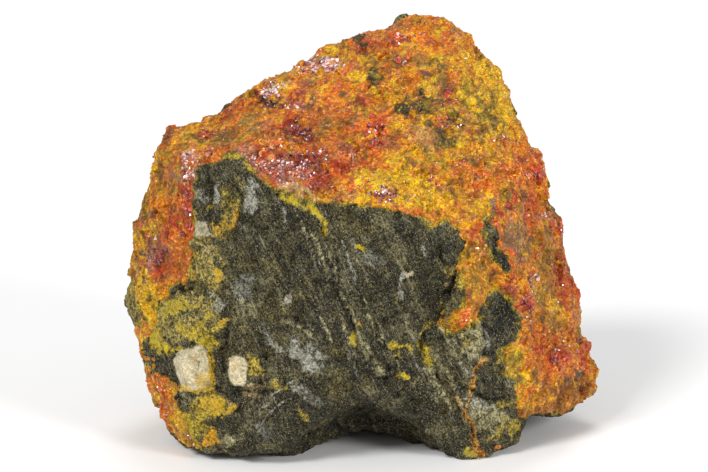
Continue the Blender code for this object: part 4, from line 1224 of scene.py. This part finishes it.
def realgar(crust, surface, rng):
    """Clusters of red realgar crystals where the photo shows them, and more scattered over the crust."""
    points, normals, _, reach = crust
    photo, front = in_photo(points), facing(normals)
    chosen, radii, colours = [], [], []
    for x, y, half_x, half_y, count, size, palette in CRYSTAL_CLUSTERS.values():
        inside = inside_oval(photo, x, y, half_x * CLUSTER_SPREAD, half_y * CLUSTER_SPREAD)
        weight = front * (reach > 0.0) * np.clip(inside, 0.0, None)
        if weight.sum() == 0.0:
            continue
        chosen.append(rng.choice(len(points), count, p=weight / weight.sum()))
        radii.append(size * rng.uniform(*CLUSTER_SIZES, count))
        colours.append(from_palette(palette, count, rng))
    chance = (reach > 0.5) * risen(points, "lone realgar")
    chosen.append(rng.choice(len(points), LONE_REALGAR, p=chance / chance.sum()))
    radii.append(rng.uniform(*LONE_RADII, LONE_REALGAR))
    colours.append(from_palette("lone", LONE_REALGAR, rng))
    chosen, radii, colours = np.concatenate(chosen), np.concatenate(radii), np.concatenate(colours)
    centres = points[chosen] - normals[chosen] * (radii * rng.uniform(*CRYSTAL_SINK, len(radii)))[:, None]
    colours = colours * rng.uniform(0.6, 1.4, len(radii))[:, None]
    crystal_field("realgar_crystals", surface, centres, radii, np.clip(colours, 0.0, BRIGHTEST), rng)


def new_material(name):
    made = bpy.data.materials.new(name)
    made.use_nodes = True
    return made, made.node_tree, made.node_tree.nodes["Principled BSDF"]


def tinted_material(name):
    """A material with its tree and shader, and the sockets of a point's place and of its tint."""
    made, tree, shader = new_material(name)
    place = add_node(tree, "ShaderNodeTexCoord").outputs["Object"]
    tint = add_node(tree, "ShaderNodeAttribute", {"attribute_name": "tint"}).outputs["Color"]
    return made, tree, shader, place, tint


def add_node(tree, kind, settings=None, **inputs):
    made = tree.nodes.new(kind)
    for key, value in (settings or {}).items():
        setattr(made, key, value)
    for key, value in inputs.items():
        socket = made.inputs[int(key[1:])] if key[0] == "_" else made.inputs[key.replace("_", " ")]
        if isinstance(value, bpy.types.NodeSocket):
            tree.links.new(value, socket)
        else:
            socket.default_value = value
    return made


def between(tree, value, low, high, start=0.0, end=1.0, smooth=True):
    """The value's stretch from low to high laid out over start to end."""
    kind = "SMOOTHSTEP" if smooth else "LINEAR"
    return add_node(
        tree, "ShaderNodeMapRange", {"interpolation_type": kind},
        Value=value, From_Min=low, From_Max=high, To_Min=start, To_Max=end,
    ).outputs["Result"]


def mixed(tree, factor, first, second, blend="MIX"):
    made = add_node(tree, "ShaderNodeMix", {"data_type": "RGBA", "blend_type": blend}, _0=factor)
    for socket, value in ((made.inputs[6], first), (made.inputs[7], second)):
        if isinstance(value, bpy.types.NodeSocket):
            tree.links.new(value, socket)
        else:
            socket.default_value = (*value, 1.0)
    return made.outputs[2]


def product(tree, first, second):
    return add_node(tree, "ShaderNodeMath", {"operation": "MULTIPLY"}, _0=first, _1=second).outputs[0]


def added(tree, first, second):
    return add_node(tree, "ShaderNodeMath", {"operation": "ADD"}, _0=first, _1=second).outputs[0]


def shade_colour(tree, shade):
    return add_node(tree, "ShaderNodeCombineColor", Red=shade, Green=shade, Blue=shade).outputs[0]


def bumped(tree, height, bump):
    """The normal of bumps of this height, with their strength and their millimetres from low to high."""
    strength, depth = bump
    made = add_node(tree, "ShaderNodeBump", Height=height, Strength=strength, Distance=depth * MM)
    return made.outputs[0]


def noise_value(tree, place, size, detail=2.0, rough=0.5):
    return add_node(
        tree, "ShaderNodeTexNoise", Vector=place, Scale=1.0 / (size * MM), Detail=detail, Roughness=rough
    ).outputs["Fac"]


def cell_node(tree, place, size, feature="F1"):
    scale = 1.0 / (size * MM)
    return add_node(tree, "ShaderNodeTexVoronoi", {"feature": feature}, Vector=place, Scale=scale)


def three_numbers(tree, colour):
    return add_node(tree, "ShaderNodeSeparateColor", Color=colour).outputs


def facet_normals(tree, cell_colour, under):
    """Each cell's own flat tilt added to the normal, so that single facets catch the light."""

    def vector_math(operation, **inputs):
        return add_node(tree, "ShaderNodeVectorMath", {"operation": operation}, **inputs).outputs[0]

    tilt = vector_math("SUBTRACT", _0=cell_colour, _1=(0.5, 0.5, 0.5))
    scaled = vector_math("SCALE", _0=tilt, Scale=FACET_LEAN)
    return vector_math("NORMALIZE", _0=vector_math("ADD", _0=scaled, _1=under))


def crust_material():
    """Granular crust: a mosaic of fine grains in shades of the tint, each with its own gloss and tilt, with
    painted shade in the gaps between them.
    """
    made, tree, shader, place, tint = tinted_material("granular crust")
    cells = cell_node(tree, place, FINE_GRAIN).outputs["Color"]
    random_value, random_hue, random_gloss = list(three_numbers(tree, cells))[:3]
    numbers = {"hue": random_hue, "gloss": random_gloss}
    red_part = three_numbers(tree, tint)[0]
    bright = between(tree, red_part, 0.25, 0.55)
    ground = {"bright": bright, "dull": between(tree, red_part, 0.16, 0.08)}
    colour = tint
    for number, low, high, strength, grain_colour, kind in OTHER_GRAINS.values():
        share = product(tree, between(tree, numbers[number], low, high, 0.0, strength), ground[kind])
        colour = mixed(tree, share, colour, grain_colour)
    shade = between(tree, random_value, 0.0, 1.0, 0.80, 1.22, smooth=False)
    colour = mixed(tree, 1.0, colour, shade_colour(tree, shade), "MULTIPLY")
    edge = cell_node(tree, place, FINE_GRAIN, "DISTANCE_TO_EDGE").outputs["Distance"]
    # Painted shade in the gaps between the fine grains
    colour = mixed(tree, between(tree, edge, 0.0, 0.16, 0.55, 0.0), colour, GAP_SHADE_COLOUR)
    dust = between(tree, noise_value(tree, place, 0.11, 3.0), 0.62, 0.80, 0.0, 0.40)
    colour = mixed(tree, product(tree, dust, bright), colour, PALE_DUST)
    tree.links.new(colour, shader.inputs["Base Color"])
    tree.links.new(between(tree, random_gloss, 0.0, 1.0, 0.20, 0.90), shader.inputs["Roughness"])
    shader.inputs["IOR"].default_value = CRUST_IOR
    under = bumped(tree, added(tree, noise_value(tree, place, 0.25, 4.0), edge), CRUST_BUMP)
    tree.links.new(facet_normals(tree, cells, under), shader.inputs["Normal"])
    return made


def crystal_material(name, roughness, ior, coat):
    """Single crystals in their own tint, with a little zoning and faint striation."""
    made, tree, shader, place, tint = tinted_material(name)
    zoned = between(tree, noise_value(tree, place, 0.4, 2.0), 0.3, 0.7, 0.65, 1.25)
    colour = mixed(tree, 1.0, tint, shade_colour(tree, zoned), "MULTIPLY")
    tree.links.new(colour, shader.inputs["Base Color"])
    worn = noise_value(tree, place, 0.18, 2.0)
    tree.links.new(between(tree, worn, 0.35, 0.7, roughness, roughness + 0.3), shader.inputs["Roughness"])
    shader.inputs["IOR"].default_value = ior
    shader.inputs["Coat Weight"].default_value = coat
    shader.inputs["Coat Roughness"].default_value = COAT_ROUGHNESS
    tree.links.new(bumped(tree, worn, CRYSTAL_BUMP), shader.inputs["Normal"])
    return made


def rock_material():
    """Dark foliated rock: a fine speckle from black to beige, and thin lines along the foliation."""
    made, tree, shader, place, tint = tinted_material("foliated rock")

    def drawn_out(across, into, along, detail, rough):
        """Noise in spots of this size in millimetres, turned along the foliation."""
        turned_place = add_node(tree, "ShaderNodeMapping", {"vector_type": "TEXTURE"}, Vector=place)
        turned_place.inputs["Rotation"].default_value = (0.0, FOLIATION_LEAN - math.radians(90), 0.0)
        turned_place.inputs["Scale"].default_value = (across * MM, into * MM, along * MM)
        spots = add_node(tree, "ShaderNodeTexNoise", Scale=1.0, Detail=detail, Roughness=rough)
        tree.links.new(turned_place.outputs[0], spots.inputs["Vector"])
        return spots.outputs["Fac"]

    speckle, lines, ribs = (drawn_out(*size) for size in (ROCK_SPECKLE, ROCK_THIN_LINES, ROCK_RIBS))
    specks = noise_value(tree, place, 0.14, 1.0)
    lined = between(tree, noise_value(tree, place, 5.0, 2.0), 0.46, 0.62)
    yellow_dust = noise_value(tree, place, 0.22, 2.0, 0.6)
    lightness = add_node(tree, "ShaderNodeRGBToBW", Color=tint).outputs[0]
    speckled = shade_colour(tree, between(tree, speckle, 0.43, 0.60, 0.20, 3.3))
    speckled = mixed(tree, between(tree, lightness, 0.10, 0.34, 1.0, 0.20), (1.0, 1.0, 1.0), speckled)
    colour = mixed(tree, 1.0, tint, speckled, "MULTIPLY")
    pale_share = product(tree, between(tree, lines, 0.60, 0.68, 0.0, 0.75), lined)
    colour = mixed(tree, pale_share, colour, PALE_SPECK)
    colour = mixed(tree, between(tree, specks, 0.66, 0.71, 0.0, 0.9), colour, LIGHT_SPECK)
    colour = mixed(tree, between(tree, yellow_dust, 0.61, 0.68, 0.0, 0.62), colour, OLIVE_SPECK)
    tree.links.new(colour, shader.inputs["Base Color"])
    tree.links.new(between(tree, speckle, 0.3, 0.7, 0.95, 0.6), shader.inputs["Roughness"])
    shader.inputs["Specular IOR Level"].default_value = ROCK_SPECULAR
    height = added(tree, noise_value(tree, place, 0.5, 6.0, 0.7), ribs)
    tree.links.new(bumped(tree, height, ROCK_BUMP), shader.inputs["Normal"])
    return made


def studio():
    """The camera of the photo, even light from all around with three lamps, and a pale floor."""
    scene = bpy.context.scene
    scene.view_settings.view_transform = "Standard"
    back = camera_axes()[2]
    camera = bpy.data.objects.new("camera", bpy.data.cameras.new("camera"))
    scene.collection.objects.link(camera)
    camera.data.sensor_width, camera.data.lens = SENSOR, LENS
    camera.data.clip_start, camera.data.clip_end = CLIP_START, CLIP_END
    camera.location = Vector((CAMERA_TARGET + back * CAMERA_DISTANCE) * MM)
    camera.rotation_euler = (math.radians(90) - CAMERA_RISE, 0.0, 0.0)
    scene.camera = camera
    world = bpy.data.worlds.new("studio")
    world.use_nodes = True
    background = world.node_tree.nodes["Background"]
    background.inputs["Color"].default_value = (1.0, 1.0, 1.0, 1.0)
    background.inputs["Strength"].default_value = WORLD_LIGHT
    scene.world = world
    for name, (kind, place, size, power) in LIGHTS.items():
        light = bpy.data.objects.new(name, bpy.data.lights.new(name, kind))
        if kind == "SUN":
            light.data.angle = size
        else:
            light.data.size = size
        light.data.energy = power
        light.location = place
        light.rotation_euler = (Vector(LIT_POINT) - Vector(place)).to_track_quat("-Z", "Y").to_euler()
        scene.collection.objects.link(light)
    floor_bm = bmesh.new()
    bmesh.ops.create_grid(floor_bm, x_segments=1, y_segments=1, size=FLOOR_HALF)
    floor_mesh = bpy.data.meshes.new("floor")
    floor_bm.to_mesh(floor_mesh)
    floor_bm.free()
    pale, _, shader = new_material("pale floor")
    shader.inputs["Base Color"].default_value = (*FLOOR_COLOUR, 1.0)
    floor_mesh.materials.append(pale)
    floor = bpy.data.objects.new("floor", floor_mesh)
    scene.collection.objects.link(floor)


solids = solids_together()
build_rock(solids, rock_material())
crust_surface = build_crust(solids, crust_material())
bpy.data.meshes.remove(solids)
crystal_rng = np.random.default_rng(SEED)
scattered_grains(crust_surface, crystal_material("orpiment grains", **GRAIN_LOOK), crystal_rng)
realgar(crust_surface, crystal_material("realgar crystals", **REALGAR_LOOK), crystal_rng)
studio()
